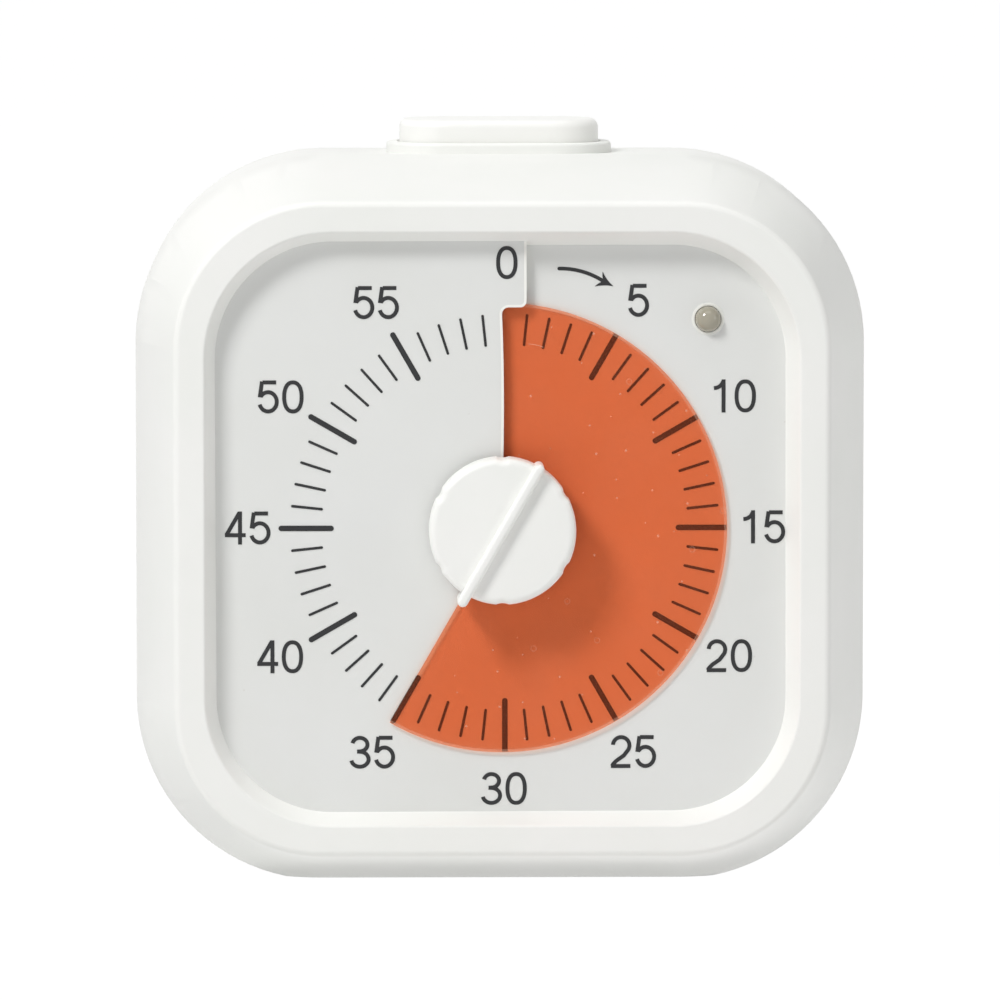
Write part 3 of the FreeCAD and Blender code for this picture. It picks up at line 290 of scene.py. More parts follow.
def metal(name, colour, tint, roughness, brushed=(1, 1, 1), depth=0.000004):
    f = Finish(name)
    lines = f.noise(900, 4, 0.6, f.stretched(*brushed))
    spots = f.noise(180, 3)
    shade = f.mix(f.ramp(spots, (0.3, 0.0), (0.7, 1.0)), colour, tint)
    rough = lines * 0.2 + (roughness - 0.1)
    normal = f.bump(lines, depth, 0.4)
    return f.done(f.surface(Base_Color=shade, Roughness=rough, Metallic=1.0, Normal=normal))


FILM_CLEAR = (0.989, 0.675, 0.525, 1)  # what one face of the sheet lets through
SCRATCH_AT = FRONT_VIEW @ Vector((3.6, 19.4, -2.5))
SCRATCH_BENDS_ABOUT = FRONT_VIEW @ Vector((2.6, 14.9, -2.5))
SCRATCH_BEND_R = 4.6
SCRATCH_WIDTH = 0.06
SCRATCH_REACH = 0.95
# width of the pale band along the sheet's rim, a painted highlight
RIM_HIGHLIGHT = 0.3
SPECKS = 300.0  # to a metre


def film_finish():
    """The see-through orange sheet, with dust specks, small bubbles, one scratch and a painted highlight
    along its rim.
    """
    f = Finish("orange_film")
    face = f.node("ShaderNodeMapping", {}, {"Vector": f.place, "Scale": (1, 0, 1),
                                            "Rotation": (-math.pi / 2, 0, 0),
                                            "Location": (0, -AXIS_HEIGHT * MM, 0)})
    from_speck = f.cells(SPECKS, "Distance", face)
    chance = f.node("ShaderNodeSeparateColor", {}, {"Color": f.cells(SPECKS, "Color", face)})
    speck = (from_speck < chance * 0.042) * (chance > 0.45)
    bubble = (from_speck < 0.1) * (from_speck > 0.07) * (chance < 0.1)
    # a pale band along the rim: painted highlight where the sheet's edge catches the light
    rim = f.measure("LENGTH", face) > (DISC_R - RIM_HIGHLIGHT) * MM
    bend = f.measure("DISTANCE", f.place, SCRATCH_BENDS_ABOUT)
    on_line = (bend > SCRATCH_BEND_R * MM) * (bend < (SCRATCH_BEND_R + SCRATCH_WIDTH) * MM)
    scratch = on_line * (f.measure("DISTANCE", f.place, SCRATCH_AT) < SCRATCH_REACH * MM)
    haze = f.ramp(f.noise(140, 5, 0.6), (0.35, 0.0), (0.75, 1.0))
    rough = haze * 0.15 + 0.2
    body = f.surface(Base_Color=f.mix(haze, (0.95, 0.27, 0.13, 1), (0.9, 0.38, 0.25, 1)), Roughness=rough,
                     Normal=f.bump(f.noise(700, 2), 0.00001, 0.2))
    pale = f.surface(Base_Color=f.mix(haze, rgb(250, 214, 190), rgb(252, 224, 206)), Roughness=0.4)
    clear = f.node("ShaderNodeBsdfTransparent", {}, {"Color": FILM_CLEAR})
    # dust specks, bubbles and the scratch are the sheet's own; the rim band is painted highlight
    marks_and_rim_highlight = speck * 0.22 + bubble * 0.1 + scratch * 0.3 + rim * 0.12
    sheet = f.node("ShaderNodeMixShader", {}, {0: haze * 0.015 + 0.045, 1: clear, 2: body})
    return f.done(f.node("ShaderNodeMixShader", {}, {0: marks_and_rim_highlight, 1: sheet, 2: pale}))


def ink_finish():
    f = Finish("black_ink")
    shade = f.mix(f.noise(800, 3), rgb(22, 23, 25), rgb(31, 32, 34))
    return f.done(f.surface(Base_Color=shade, Roughness=f.noise(1500, 2) * 0.1 + 0.5,
                            Normal=f.bump(f.noise(4000, 2), 0.000004, 0.3)))


def dial_finish():
    """Printed sheet: pale grey with a faint cast, paper-like grain and a few specks."""
    f = Finish("dial_sheet")
    clouds = f.ramp(f.noise(45, 4), (0.35, 0.0), (0.65, 1.0))
    shade = f.mix(clouds, rgb(224, 225, 222), rgb(227, 228, 226))
    shade = f.mix((f.cells(260.0, "Distance") < 0.03) * 0.35, shade, rgb(205, 203, 196))
    return f.done(f.surface(Base_Color=shade, Roughness=f.noise(300, 3) * 0.15 + 0.42,
                            Normal=f.bump(f.noise(3500, 3), 0.000008, 0.25)))


def lens_finish():
    f = Finish("clear_lens")
    haze = f.noise(900, 3)
    shade = f.mix(haze, rgb(176, 169, 150), rgb(186, 180, 161))
    return f.done(f.surface(Base_Color=shade, Roughness=haze * 0.06 + 0.08, Transmission_Weight=0.25,
                            IOR=1.5, Coat_Weight=0.6))


def sleeve_finish():
    """The dark wrap of a cell."""
    f = Finish("cell_sleeve")
    haze = f.noise(500, 3)
    shade = f.mix(haze, rgb(38, 40, 44), rgb(52, 54, 58))
    return f.done(f.surface(Base_Color=shade, Roughness=haze * 0.15 + 0.22, Metallic=0.3,
                            Normal=f.bump(haze, 0.00001, 0.2)))


WHITE, WHITE_TINT = rgb(238, 239, 235), rgb(241, 241, 238)
FINISHES = {
    "case_white": (moulded, WHITE, WHITE_TINT, 0.5),
    "button_white": (moulded, rgb(243, 243, 239), rgb(245, 245, 242), 0.4),
    "knob_white": (moulded, rgb(239, 240, 236), rgb(243, 243, 240), 0.42, 6500, 0.000008),
    "inner_white": (moulded, rgb(226, 226, 220), rgb(232, 232, 226), 0.5),
    "hub_orange": (moulded, rgb(224, 112, 68), rgb(230, 122, 76), 0.4),
    "bright_steel": (metal, (0.70, 0.70, 0.71, 1), (0.78, 0.78, 0.79, 1), 0.3, (1, 1, 6)),
    "spring_steel": (metal, (0.66, 0.65, 0.62, 1), (0.74, 0.73, 0.70, 1), 0.32),
    "brass": (metal, (0.78, 0.58, 0.25, 1), (0.84, 0.66, 0.32, 1), 0.3),
    "gear_white": (moulded, rgb(232, 228, 214), rgb(238, 234, 222), 0.4, 9000),
    "gear_dark": (moulded, rgb(52, 52, 56), rgb(66, 66, 70), 0.5, 7000),
    "stator_iron": (metal, (0.46, 0.46, 0.48, 1), (0.56, 0.56, 0.57, 1), 0.45, (1, 1, 5)),
    "coil_copper": (metal, (0.70, 0.32, 0.15, 1), (0.78, 0.40, 0.22, 1), 0.35, (12, 1, 1), 0.00002),
    "tinned_wire": (metal, (0.74, 0.74, 0.75, 1), (0.82, 0.82, 0.82, 1), 0.3),
    "movement_black": (moulded, rgb(40, 40, 43), rgb(50, 50, 53), 0.55),
    "board_green": (moulded, rgb(30, 96, 58), rgb(38, 110, 66), 0.3, 3000, 0.00001, 0.4),
    "chip_black": (moulded, rgb(32, 32, 34), rgb(42, 42, 44), 0.55, 8000),
    "buzzer_black": (moulded, rgb(28, 28, 30), rgb(38, 38, 40), 0.4),
    "stem_plastic": (moulded, rgb(60, 60, 62), rgb(72, 72, 74), 0.5),
    "lead_red": (moulded, rgb(176, 30, 26), rgb(190, 40, 34), 0.45),
    "screw_zinc": (metal, (0.60, 0.61, 0.62, 1), (0.70, 0.71, 0.71, 1), 0.35),
}
finishes = {name: make(name, *looks) for name, (make, *looks) in FINISHES.items()}
finishes.update(dial_print=dial_finish(), orange_film=film_finish(), clear_lens=lens_finish(),
                cell_sleeve=sleeve_finish())
ink = ink_finish()
margin_white = moulded("margin_white", rgb(243, 242, 236), rgb(246, 245, 240), 0.45)
# the sheet's edge faces are coloured pale as a painted highlight, where the edge catches the light
film_edge_highlight = moulded("film_edge_highlight", rgb(250, 214, 190), rgb(252, 222, 202), 0.35)

slots = {part["node"]: part["material_slot"] for part in frame["record"]["subparts"]}
for node_name, slot_name in slots.items():
    for holder in nodes[node_name].material_slots:
        holder.material = finishes[slot_name]


# Making pieces

def start(adder, name, **settings):
    """A new primitive, named and alone in the selection."""
    bpy.ops.object.select_all(action="DESELECT")
    adder(**settings)
    piece = bpy.context.object
    piece.name = name
    return piece


def in_edit(piece, select="all"):
    """Opens a piece's mesh. select is all or a test of a face."""
    bpy.context.view_layer.objects.active = piece
    bpy.ops.object.mode_set(mode="EDIT")
    if select == "all":
        bpy.ops.mesh.select_all(action="SELECT")
    else:
        bpy.ops.mesh.select_mode(type="FACE")
        bpy.ops.mesh.select_all(action="DESELECT")
        mesh = bmesh.from_edit_mesh(piece.data)
        for face in mesh.faces:
            face.select_set(bool(select(face)))
        bmesh.update_edit_mesh(piece.data)


def closed():
    bpy.ops.object.mode_set(mode="OBJECT")


def apply_modifier(piece, kind, **settings):
    bpy.ops.object.select_all(action="DESELECT")
    piece.select_set(True)
    bpy.context.view_layer.objects.active = piece
    modifier = piece.modifiers.new(kind.lower(), kind)
    for name, value in settings.items():
        setattr(modifier, name, value)
    bpy.ops.object.modifier_apply(modifier=modifier.name)


def smooth(piece, degrees=35):
    bpy.ops.object.select_all(action="DESELECT")
    piece.select_set(True)
    bpy.context.view_layer.objects.active = piece
    bpy.ops.object.shade_smooth_by_angle(angle=math.radians(degrees))


def place(piece, matrix):
    """Puts the piece's own place into its mesh, with the object left at the origin."""
    piece.data.transform(matrix @ piece.matrix_world)
    piece.matrix_world = Matrix.Identity(4)
    return piece


def dress(piece, material, body, slot, *replaced):
    piece.data.materials.clear()
    piece.data.materials.append(material)
    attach(piece, body)
    if replaced:
        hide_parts(*replaced)
    return piece


def rounded_sheet(name, half_x, half_y, corner_r, z=0.0, segments=24):
    piece = start(bpy.ops.mesh.primitive_plane_add, name, size=2, location=(0, 0, z))
    piece.scale = (half_x, half_y, 1)
    bpy.ops.object.transform_apply(location=True, rotation=False, scale=True)
    in_edit(piece)
    bpy.ops.mesh.bevel(offset=corner_r, segments=segments, profile=0.5, affect="VERTICES")
    closed()
    return piece


def raise_steps(piece, steps):
    """Draws the piece's single face up through steps, each an inset and a rise."""
    bpy.context.view_layer.objects.active = piece
    bpy.ops.object.mode_set(mode="EDIT")
    bpy.ops.mesh.select_mode(type="FACE")
    bpy.ops.mesh.select_all(action="SELECT")
    bpy.ops.mesh.duplicate()  # keeps the lower face, which closes the piece
    for inset, rise in steps:
        if inset:
            bpy.ops.mesh.inset(thickness=inset, depth=rise, use_even_offset=True)
        else:
            bpy.ops.mesh.extrude_region_move(TRANSFORM_OT_translate={"value": (0, 0, rise)})
    bpy.ops.mesh.select_all(action="SELECT")
    bpy.ops.mesh.remove_doubles(threshold=MERGE)
    bpy.ops.mesh.normals_make_consistent(inside=False)
    closed()


def quarter(radius, count):
    """The steps of a rounded edge, from the side to the face."""
    points = [(radius * (1 - math.cos(math.pi / 2 * i / count)), radius * math.sin(math.pi / 2 * i / count))
              for i in range(count + 1)]
    return [(b[0] - a[0], b[1] - a[1]) for a, b in zip(points, points[1:])]


def join(name, pieces):
    bpy.ops.object.select_all(action="DESELECT")
    for piece in pieces:
        piece.select_set(True)
    bpy.context.view_layer.objects.active = pieces[0]
    if len(pieces) > 1:
        bpy.ops.object.join()
    joined = bpy.context.object
    joined.name = name
    return joined


def copy_of(piece, name):
    made = piece.copy()
    made.data = piece.data.copy()
    made.name = name
    bpy.context.scene.collection.objects.link(made)
    return made


def remove(piece):
    bpy.data.objects.remove(piece)


def turned(minutes):
    return Matrix.Rotation(math.radians(-6.0 * minutes), 4, "Z")


def dial_height(x, y):
    """Height of the dial's front at a place in the front view."""
    minutes = math.degrees(math.atan2(x, y)) / 6 % 60
    if y > SLIT_JOG_R and 0 <= x < SLIT_JOG_X:
        minutes += 60
    return DIAL_LOW + DIAL_PITCH * minutes / 60


def lay_on_dial(piece, lift=PRINT_LIFT):
    for vertex in piece.data.vertices:
        vertex.co.z += dial_height(vertex.co.x, vertex.co.y) + lift


def lathe(name, profile, steps=64):
    """A piece turned about Z from points of its radius and height."""
    mesh = bpy.data.meshes.new(name)
    edges = [(i, i + 1) for i in range(len(profile) - 1)]
    mesh.from_pydata([(radius, 0, z) for radius, z in profile], edges, [])
    piece = bpy.data.objects.new(name, mesh)
    bpy.context.scene.collection.objects.link(piece)
    apply_modifier(piece, "SCREW", axis="Z", angle=2 * math.pi, steps=steps, render_steps=steps,
                   use_merge_vertices=True, merge_threshold=MERGE)
    in_edit(piece)
    bpy.ops.mesh.remove_doubles(threshold=MERGE)
    bpy.ops.mesh.normals_make_consistent(inside=False)
    closed()
    smooth(piece, 40)
    return piece


def softened(node_name, name, body, degrees=50, edge=0.0, flat=0.3):
    """A node of the same shape, its curved faces shaded smooth and its edges a little worn."""
    node = nodes[node_name]
    piece = bpy.data.objects.new(name, node.data.copy())
    bpy.context.scene.collection.objects.link(piece)
    piece.data.transform(node.matrix_world)
    bpy.ops.object.select_all(action="DESELECT")
    piece.select_set(True)
    bpy.context.view_layer.objects.active = piece
    bpy.ops.mesh.customdata_custom_splitnormals_clear()
    in_edit(piece)
    bpy.ops.mesh.remove_doubles(threshold=NODE_MERGE * MM)
    if flat:
        bpy.ops.mesh.dissolve_limited(angle_limit=math.radians(flat))
    closed()
    if edge:
        apply_modifier(piece, "BEVEL", width=edge * MM, segments=2, limit_method="ANGLE",
                       angle_limit=math.radians(degrees))
    smooth(piece, degrees)
    apply_modifier(piece, "WEIGHTED_NORMAL", keep_sharp=True, weight=50)
    slot = slots[node_name]
    return dress(piece, finishes[slot], body, slot, node_name)


# Button

def make_button_cap():
    cap = rounded_sheet("button_cap_shell", CAP_SIZE[0] / 2 + CAP_FLANGE, CAP_SIZE[1] / 2 + CAP_FLANGE,
                        CAP_CORNER_R + CAP_FLANGE)
    low = -SLEEVE_LENGTH - 0.1
    cap.location.z = low - CAP_FLANGE_THICKNESS
    bpy.ops.object.transform_apply(location=True, rotation=False, scale=False)
    wall = CAP_TOP - CAP_EDGE_R - low
    raise_steps(cap, [(0, CAP_FLANGE_THICKNESS), (CAP_FLANGE, 0.0001), (0, wall)] + quarter(CAP_EDGE_R, 10))
    smooth(cap)
    return dress(place(cap, ON_TOP), finishes["button_white"], "button", "button_white", "button_cap")


def make_button_collar():
    flange = rounded_sheet("button_collar_ring", COLLAR_SIZE[0] / 2, COLLAR_SIZE[1] / 2, COLLAR_CORNER_R)
    rim = COLLAR_SIZE[0] / 2 - CAP_SIZE[0] / 2 - BUTTON_GAP
    steps = [(0, COLLAR_TOP - COLLAR_EDGE_R)] + quarter(COLLAR_EDGE_R, 6)
    steps.append((rim - COLLAR_EDGE_R - COLLAR_INNER_EDGE_R, 0))
    steps += [(rise, -inset) for inset, rise in reversed(quarter(COLLAR_INNER_EDGE_R, 3))]
    steps.append((0, COLLAR_INNER_EDGE_R - COLLAR_TOP - SLEEVE_LENGTH))
    raise_steps(flange, steps)
    smooth(flange)
    return dress(place(flange, ON_TOP), finishes["case_white"], "case", "case_white", "button_collar")


# Knob

def rim_radius(minutes, inset):
    """How far the knob's outline stands from its axis in a direction, with its flutes."""
    pitch = 60.0 / FLUTES
    aside = math.radians(6.0 * ((minutes - REST_MINUTES) % pitch - pitch / 2))
    away = KNOB_R - FLUTE_DEPTH + FLUTE_R
    inside = (FLUTE_R + inset) ** 2 - (away * math.sin(aside)) ** 2
    if inside <= 0:
        return KNOB_R - inset
    return min(KNOB_R - inset, away * math.cos(aside) - math.sqrt(inside))


def rib_point(spot, inset):
    """The outline of the raised bar: two half circles joined by straight sides."""
    middle = (BAR_POINTER_REACH - BAR_TAIL_REACH) / 2
    to_end = (BAR_POINTER_REACH + BAR_TAIL_REACH - BAR_WIDTH) / 2
    end = Vector((0, middle + math.copysign(to_end, spot.y - middle)))
    return end + (spot - end).normalized() * (BAR_WIDTH / 2 - inset)


def rim_point(spot, inset):
    turn = math.atan2(spot.x, spot.y)
    radius = rim_radius(math.degrees(turn) / 6, inset)
    return Vector((radius * math.sin(turn), radius * math.cos(turn)))


def draw_up(piece, levels, outline):
    """Raises a flat face through levels of inset and height, each an exact inward copy of the outline."""
    for vertex in piece.data.vertices:
        vertex.co = (*outline(vertex.co.xy, 0), vertex.co.z)
    in_edit(piece)
    bpy.ops.mesh.duplicate()
    for inset, height in levels:
        bpy.ops.mesh.extrude_region_move()
        mesh = bmesh.from_edit_mesh(piece.data)
        for vertex in mesh.verts:
            if vertex.select:
                vertex.co = (*outline(vertex.co.xy, inset), height)
        bmesh.update_edit_mesh(piece.data)
    bpy.ops.mesh.select_all(action="SELECT")
    bpy.ops.mesh.remove_doubles(threshold=MERGE)
    bpy.ops.mesh.normals_make_consistent(inside=False)
    closed()


def rounded_levels(high, edge_r, count):
    levels = [(0.0, high - edge_r)]
    for inset, rise in quarter(edge_r, count):
        levels.append((levels[-1][0] + inset, levels[-1][1] + rise))
    return levels


def make_knob():
    knob = start(bpy.ops.mesh.primitive_circle_add, "knob_cap", vertices=KNOB_STEPS, radius=KNOB_R,
                 fill_type="NGON", location=(0, 0, KNOB_BACK))
    bpy.ops.object.transform_apply(location=True, rotation=False, scale=False)
    draw_up(knob, rounded_levels(KNOB_FACE, KNOB_EDGE_R, EDGE_STEPS), rim_point)
    smooth(knob, 30)

    rib = start(bpy.ops.mesh.primitive_circle_add, "knob_rib", vertices=BAR_STEPS, radius=BAR_WIDTH / 2,
                fill_type="NGON", location=(0, 0, KNOB_BACK))
    rib.rotation_euler.z = math.pi / BAR_STEPS
    bpy.ops.object.transform_apply(location=True, rotation=True, scale=False)
    for vertex in rib.data.vertices:
        vertex.co.y += (BAR_POINTER_REACH - BAR_WIDTH / 2 if vertex.co.y > 0
                        else BAR_WIDTH / 2 - BAR_TAIL_REACH)
    draw_up(rib, rounded_levels(KNOB_FACE + BAR_HEIGHT, BAR_EDGE_R, EDGE_STEPS), rib_point)
    smooth(rib, 60)
    rib.data.transform(turned(REST_MINUTES))
    whole = join("knob_cap", [knob, rib])
    return dress(place(whole, FRONT_VIEW), finishes["knob_white"], "knob_assembly", "knob_white", "knob")


# Colour disc

def make_film():
    """A strip of the sheet's section is swept round the axis as it climbs."""
    inner, middle = HUB_R - HUB_BITE, DIAL_LOW + DISC_GAP + DISC_SHEET / 2
    start_minutes = REST_MINUTES - 60.0 + DISC_CUT_MINUTES
    turn = REST_MINUTES - start_minutes
    film = start(bpy.ops.mesh.primitive_plane_add, "colour_film", size=1)
    film.scale = (DISC_R - inner, DISC_SHEET, 1)
    bpy.ops.object.transform_apply(location=False, rotation=False, scale=True)
    in_edit(film)
    bpy.ops.mesh.delete(type="ONLY_FACE")
    closed()
    film.rotation_euler = (math.radians(90), 0, math.radians(90 - 6.0 * start_minutes))
    spot = Vector(((DISC_R + inner) / 2, 0, 0))
    spot.rotate(Matrix.Rotation(math.radians(90 - 6.0 * start_minutes), 3, "Z"))
    film.location = spot + Vector((0, 0, middle + DIAL_PITCH * start_minutes / 60))
    bpy.ops.object.transform_apply(location=True, rotation=True, scale=True)
    apply_modifier(film, "SCREW", axis="Z", angle=math.radians(-6.0 * turn), steps=FILM_STEPS,
                   render_steps=FILM_STEPS, screw_offset=DIAL_PITCH * turn / 60, use_smooth_shade=False)
    in_edit(film)
    bpy.ops.mesh.select_mode(type="EDGE")
    bpy.ops.mesh.select_all(action="DESELECT")
    bpy.ops.mesh.select_non_manifold()
    bpy.ops.mesh.edge_face_add()
    bpy.ops.mesh.select_all(action="SELECT")
    bpy.ops.mesh.remove_doubles(threshold=MERGE)
    bpy.ops.mesh.normals_make_consistent(inside=False)
    closed()
    smooth(film, 30)
    dress(place(film, FRONT_VIEW), finishes["orange_film"], "disc_assembly", "orange_film", "colour_disc")
    # a second material: the edge faces outside the knob, coloured pale as a painted highlight
    film.data.materials.append(film_edge_highlight)
    axis = Vector((0, 0, AXIS_HEIGHT * MM))
    for face in film.data.polygons:
        out = Vector((face.center.x, 0, face.center.z)) - axis
        if abs(face.normal.y) < 0.5 and out.length > KNOB_R * MM:
            face.material_index = 1
    return film


# Print on the dial

def make_tick(name, inner, outer, width):
    tick = rounded_sheet(name, width / 2, (outer - inner) / 2, width / 2 - 0.001, segments=8)
    tick.location.y = (inner + outer) / 2
    bpy.ops.object.transform_apply(location=True, rotation=False, scale=False)
    raise_steps(tick, [(0, TICK_THICKNESS)])
    return tick


def end_at_rim(tick):
    """Draws in what would stand past the disc's rim."""
    for vertex in tick.data.vertices:
        reach = vertex.co.xy.length
        if reach > DISC_R - RIM_CLEAR:
            vertex.co.xy *= (DISC_R - RIM_CLEAR) / reach


def make_ticks():
    long_tick = make_tick("long_tick", TICK_INNER_LONG, TICK_OUTER_LONG, TICK_WIDTH_LONG)
    short_tick = make_tick("short_tick", TICK_INNER_SHORT, TICK_OUTER_SHORT, TICK_WIDTH_SHORT)
    shift = Matrix.Translation((PRINT_SHIFT, 0, 0))
    made = []
    for minute in range(1, 60):
        tick = copy_of(short_tick if minute % 5 else long_tick, f"tick_{minute}")
        tick.data.transform(shift @ turned(minute))
        if minute < REST_MINUTES:
            end_at_rim(tick)
        made.append(tick)
    remove(long_tick)
    remove(short_tick)
    ticks = join("dial_ticks", made)
    lay_on_dial(ticks)
    return dress(place(ticks, FRONT_VIEW), ink, "case", "dial_print")


FIGURE_STROKE = 0.42
FIGURE_HALF_WIDTH = 0.92
FIGURE_HALF_HEIGHT = 1.54  # of the middle line of the strokes
FIGURE_PITCH = 2.6
FIGURES = {0: (0.5, 28.15), 5: (14.45, 24.08), 10: (24.45, 13.95), 15: (27.6, 0.05),
           20: (24.1, -13.65), 25: (13.95, -23.85), 30: (0.2, -27.75), 35: (-13.75, -23.85),
           40: (-23.5, -13.65), 45: (-26.9, 0.05), 50: (-23.4, 13.95), 55: (-13.3, 23.92)}


def arc(middle, radii, first, last, steps=20, squareness=1.0):
    """Points on an oval from one direction to another, in degrees."""
    points = []
    for i in range(steps + 1):
        turn = math.radians(first + (last - first) * i / steps)
        across, up = math.cos(turn), math.sin(turn)
        points.append(Vector((middle[0] + radii[0] * math.copysign(abs(across) ** squareness, across),
                              middle[1] + radii[1] * math.copysign(abs(up) ** squareness, up))))
    return points


def figure_strokes(digit):
    """The middle lines of a plain figure's strokes."""
    w, h, end = FIGURE_HALF_WIDTH, FIGURE_HALF_HEIGHT, FIGURE_HALF_HEIGHT + FIGURE_STROKE / 2
    if digit == "0":
        return [arc((0, 0), (w, h), 90, 450, 48, 0.88)]
    if digit == "1":
        flag = arc((-0.72, end), (1.0, 0.92), -90, -14, 10)
        return [[Vector((0.3, -end)), Vector((0.3, end))], flag]
    if digit == "2":
        top = arc((0, 0.66), (w - 0.04, h - 0.66), 176, -32, 28)
        neck = [Vector((0.28, -0.42)), Vector((-0.52, -0.98)), Vector((-0.86, -1.34)), Vector((-0.96, -h))]
        return [top + neck, [Vector((-w - 0.16, -h)), Vector((w + 0.06, -h))]]
    if digit == "3":
        upper = arc((-0.02, 0.82), (w - 0.12, h - 0.82), 168, -90, 28)
        lower = arc((-0.02, -0.74), (w, h - 0.74), 90, -170, 28)
        return [upper + [Vector((-0.32, 0.07))], [Vector((-0.32, 0.09))] + lower]
    if digit == "4":
        return [[Vector((0.48, -end)), Vector((0.48, end))],
                [Vector((0.42, end - 0.12)), Vector((-w, -0.68))],
                [Vector((-w - 0.2, -0.76)), Vector((w + 0.16, -0.76))]]
    bowl = arc((-0.02, -0.52), (w, h - 0.52), 148, -164, 30)
    stem = [Vector((-0.66, h + 0.1)), Vector((-0.89, -0.04))]
    return [[Vector((-0.6, h)), Vector((0.84, h))], stem, bowl]


def ribbon(name, path, left, right):
    """A flat strip along a path, its sides so far to the left and right of it."""
    ends_meet = (path[0] - path[-1]).length < 0.001
    before = [path[-2] if ends_meet else path[0]] + path[:-1]
    after = path[1:] + [path[1] if ends_meet else path[-1]]
    points = []
    for back, spot, on in zip(before, path, after):
        into = (spot - back).normalized() if (spot - back).length else (on - spot).normalized()
        out = (on - spot).normalized() if (on - spot).length else into
        side = Vector((-into.y - out.y, into.x + out.x)).normalized()
        reach = 1 / max(0.5, side.dot(Vector((-into.y, into.x))))
        for aside in (-right, left):
            points.append((*(spot + side * (aside * reach)), 0))
    mesh = bpy.data.meshes.new(name)
    faces = [(2 * i, 2 * i + 2, 2 * i + 3, 2 * i + 1) for i in range(len(path) - 1)]
    mesh.from_pydata(points, [], faces)
    strip = bpy.data.objects.new(name, mesh)
    bpy.context.scene.collection.objects.link(strip)
    return strip


def printed(name, pieces):
    """Joins flat strips, gives them the thickness of ink, and lays them on the dial."""
    for i, piece in enumerate(pieces):
        for vertex in piece.data.vertices:
            vertex.co.z += INK_STEP * (i % 3)
    whole = join(name, pieces)
    in_edit(whole)
    bpy.ops.mesh.remove_doubles(threshold=MERGE)
    closed()
    apply_modifier(whole, "SOLIDIFY", thickness=INK_THICKNESS, offset=0)
    lay_on_dial(whole)
    return dress(place(whole, FRONT_VIEW), ink, "case", "dial_print")


def make_figures():
    made = []
    for minute, spot in FIGURES.items():
        digits = str(minute)
        for i, digit in enumerate(digits):
            across = spot[0] + FIGURE_PITCH * (i - (len(digits) - 1) / 2)
            for path in figure_strokes(digit):
                moved = [point + Vector((across, spot[1])) for point in path]
                made.append(ribbon("figure", moved, FIGURE_STROKE / 2, FIGURE_STROKE / 2))
    return printed("dial_figures", made)


ARROW_LINE = 0.39
ARROW_START, ARROW_NECK = Vector((6.06, 27.45)), Vector((10.72, 26.12))
ARROW_TIP, ARROW_BARBS = Vector((11.8, 25.58)), (Vector((10.65, 27.15)), Vector((9.8, 25.55)))


def bowed(first, last, bow, steps=8):
    """Points from one place to another that swing out to the left by a bow."""
    side = Vector((first.y - last.y, last.x - first.x)).normalized()
    shares = [i / steps for i in range(steps + 1)]
    return [first.lerp(last, share) + side * (4 * bow * share * (1 - share)) for share in shares]


def make_arrow():
    shaft = ribbon("arrow", bowed(ARROW_START, ARROW_NECK, 0.36, 16), ARROW_LINE / 2, ARROW_LINE / 2)
    round_end = start(bpy.ops.mesh.primitive_circle_add, "arrow_end", vertices=24, radius=ARROW_LINE / 2,
                      fill_type="NGON", location=(*ARROW_START, 0))
    bpy.ops.object.transform_apply(location=True, rotation=False, scale=False)
    upper, lower = ARROW_BARBS
    edge = bowed(upper, ARROW_TIP, -0.12) + bowed(ARROW_TIP, lower, -0.1)[1:]
    edge += bowed(lower, ARROW_NECK, 0.06)[1:-1] + bowed(ARROW_NECK, upper, 0.06)[:-1]
    mesh = bpy.data.meshes.new("arrow_head")
    mesh.from_pydata([(*spot, 0) for spot in edge], [], [tuple(range(len(edge)))[::-1]])
    head = bpy.data.objects.new("arrow_head", mesh)
    bpy.context.scene.collection.objects.link(head)
    return printed("dial_arrow", [shaft, round_end, head])


def slit_path():
    """The edge of the dial's left end, from near the knob out to the rim, in the front view."""
    bend = SLIT_JOG_R - SLIT_CORNER_R
    shares = [i / SLIT_STEPS for i in range(SLIT_STEPS + 1)]
    line = [Vector((SLIT_BOW * 4 * share * (1 - share), SLIT_START + (bend - SLIT_START) * share))
            for share in shares]
    radii = (SLIT_CORNER_R, SLIT_CORNER_R)
    line += arc((SLIT_CORNER_R, bend), radii, 180, 90, CORNER_STEPS)[1:]
    line += arc((SLIT_JOG_X - SLIT_CORNER_R, SLIT_JOG_R + SLIT_CORNER_R), radii, -90, 0, CORNER_STEPS)
    return line + [Vector((SLIT_JOG_X, SLIT_TOP))]


def make_slit_margin():
    """The pale cut edge of the printed sheet beside the slit."""
    path = [spot.to_3d() for spot in slit_path()]
    points, faces = [], []
    for before, point, after in zip([path[0]] + path, path, path[1:] + [path[-1]]):
        along = (after - before).normalized()
        left = Vector((-along.y, along.x, 0))
        minutes = 60 + math.degrees(math.atan2(point.x, point.y)) / 6
        height = DIAL_LOW + DIAL_PITCH * minutes / 60 + MARGIN_LIFT
        for aside in (MARGIN_OVERLAP, MARGIN_WIDTH):
            spot = point + left * aside
            points.append((spot.x, spot.y, height))
    for i in range(len(path) - 1):
        faces.append((2 * i, 2 * i + 2, 2 * i + 3, 2 * i + 1))
    mesh = bpy.data.meshes.new("slit_margin")
    mesh.from_pydata(points, [], faces)
    margin = bpy.data.objects.new("slit_margin", mesh)
    bpy.context.scene.collection.objects.link(margin)
    apply_modifier(margin, "SOLIDIFY", thickness=MARGIN_THICKNESS, offset=0)
    return dress(place(margin, FRONT_VIEW), margin_white, "case", "dial_print")


# Back

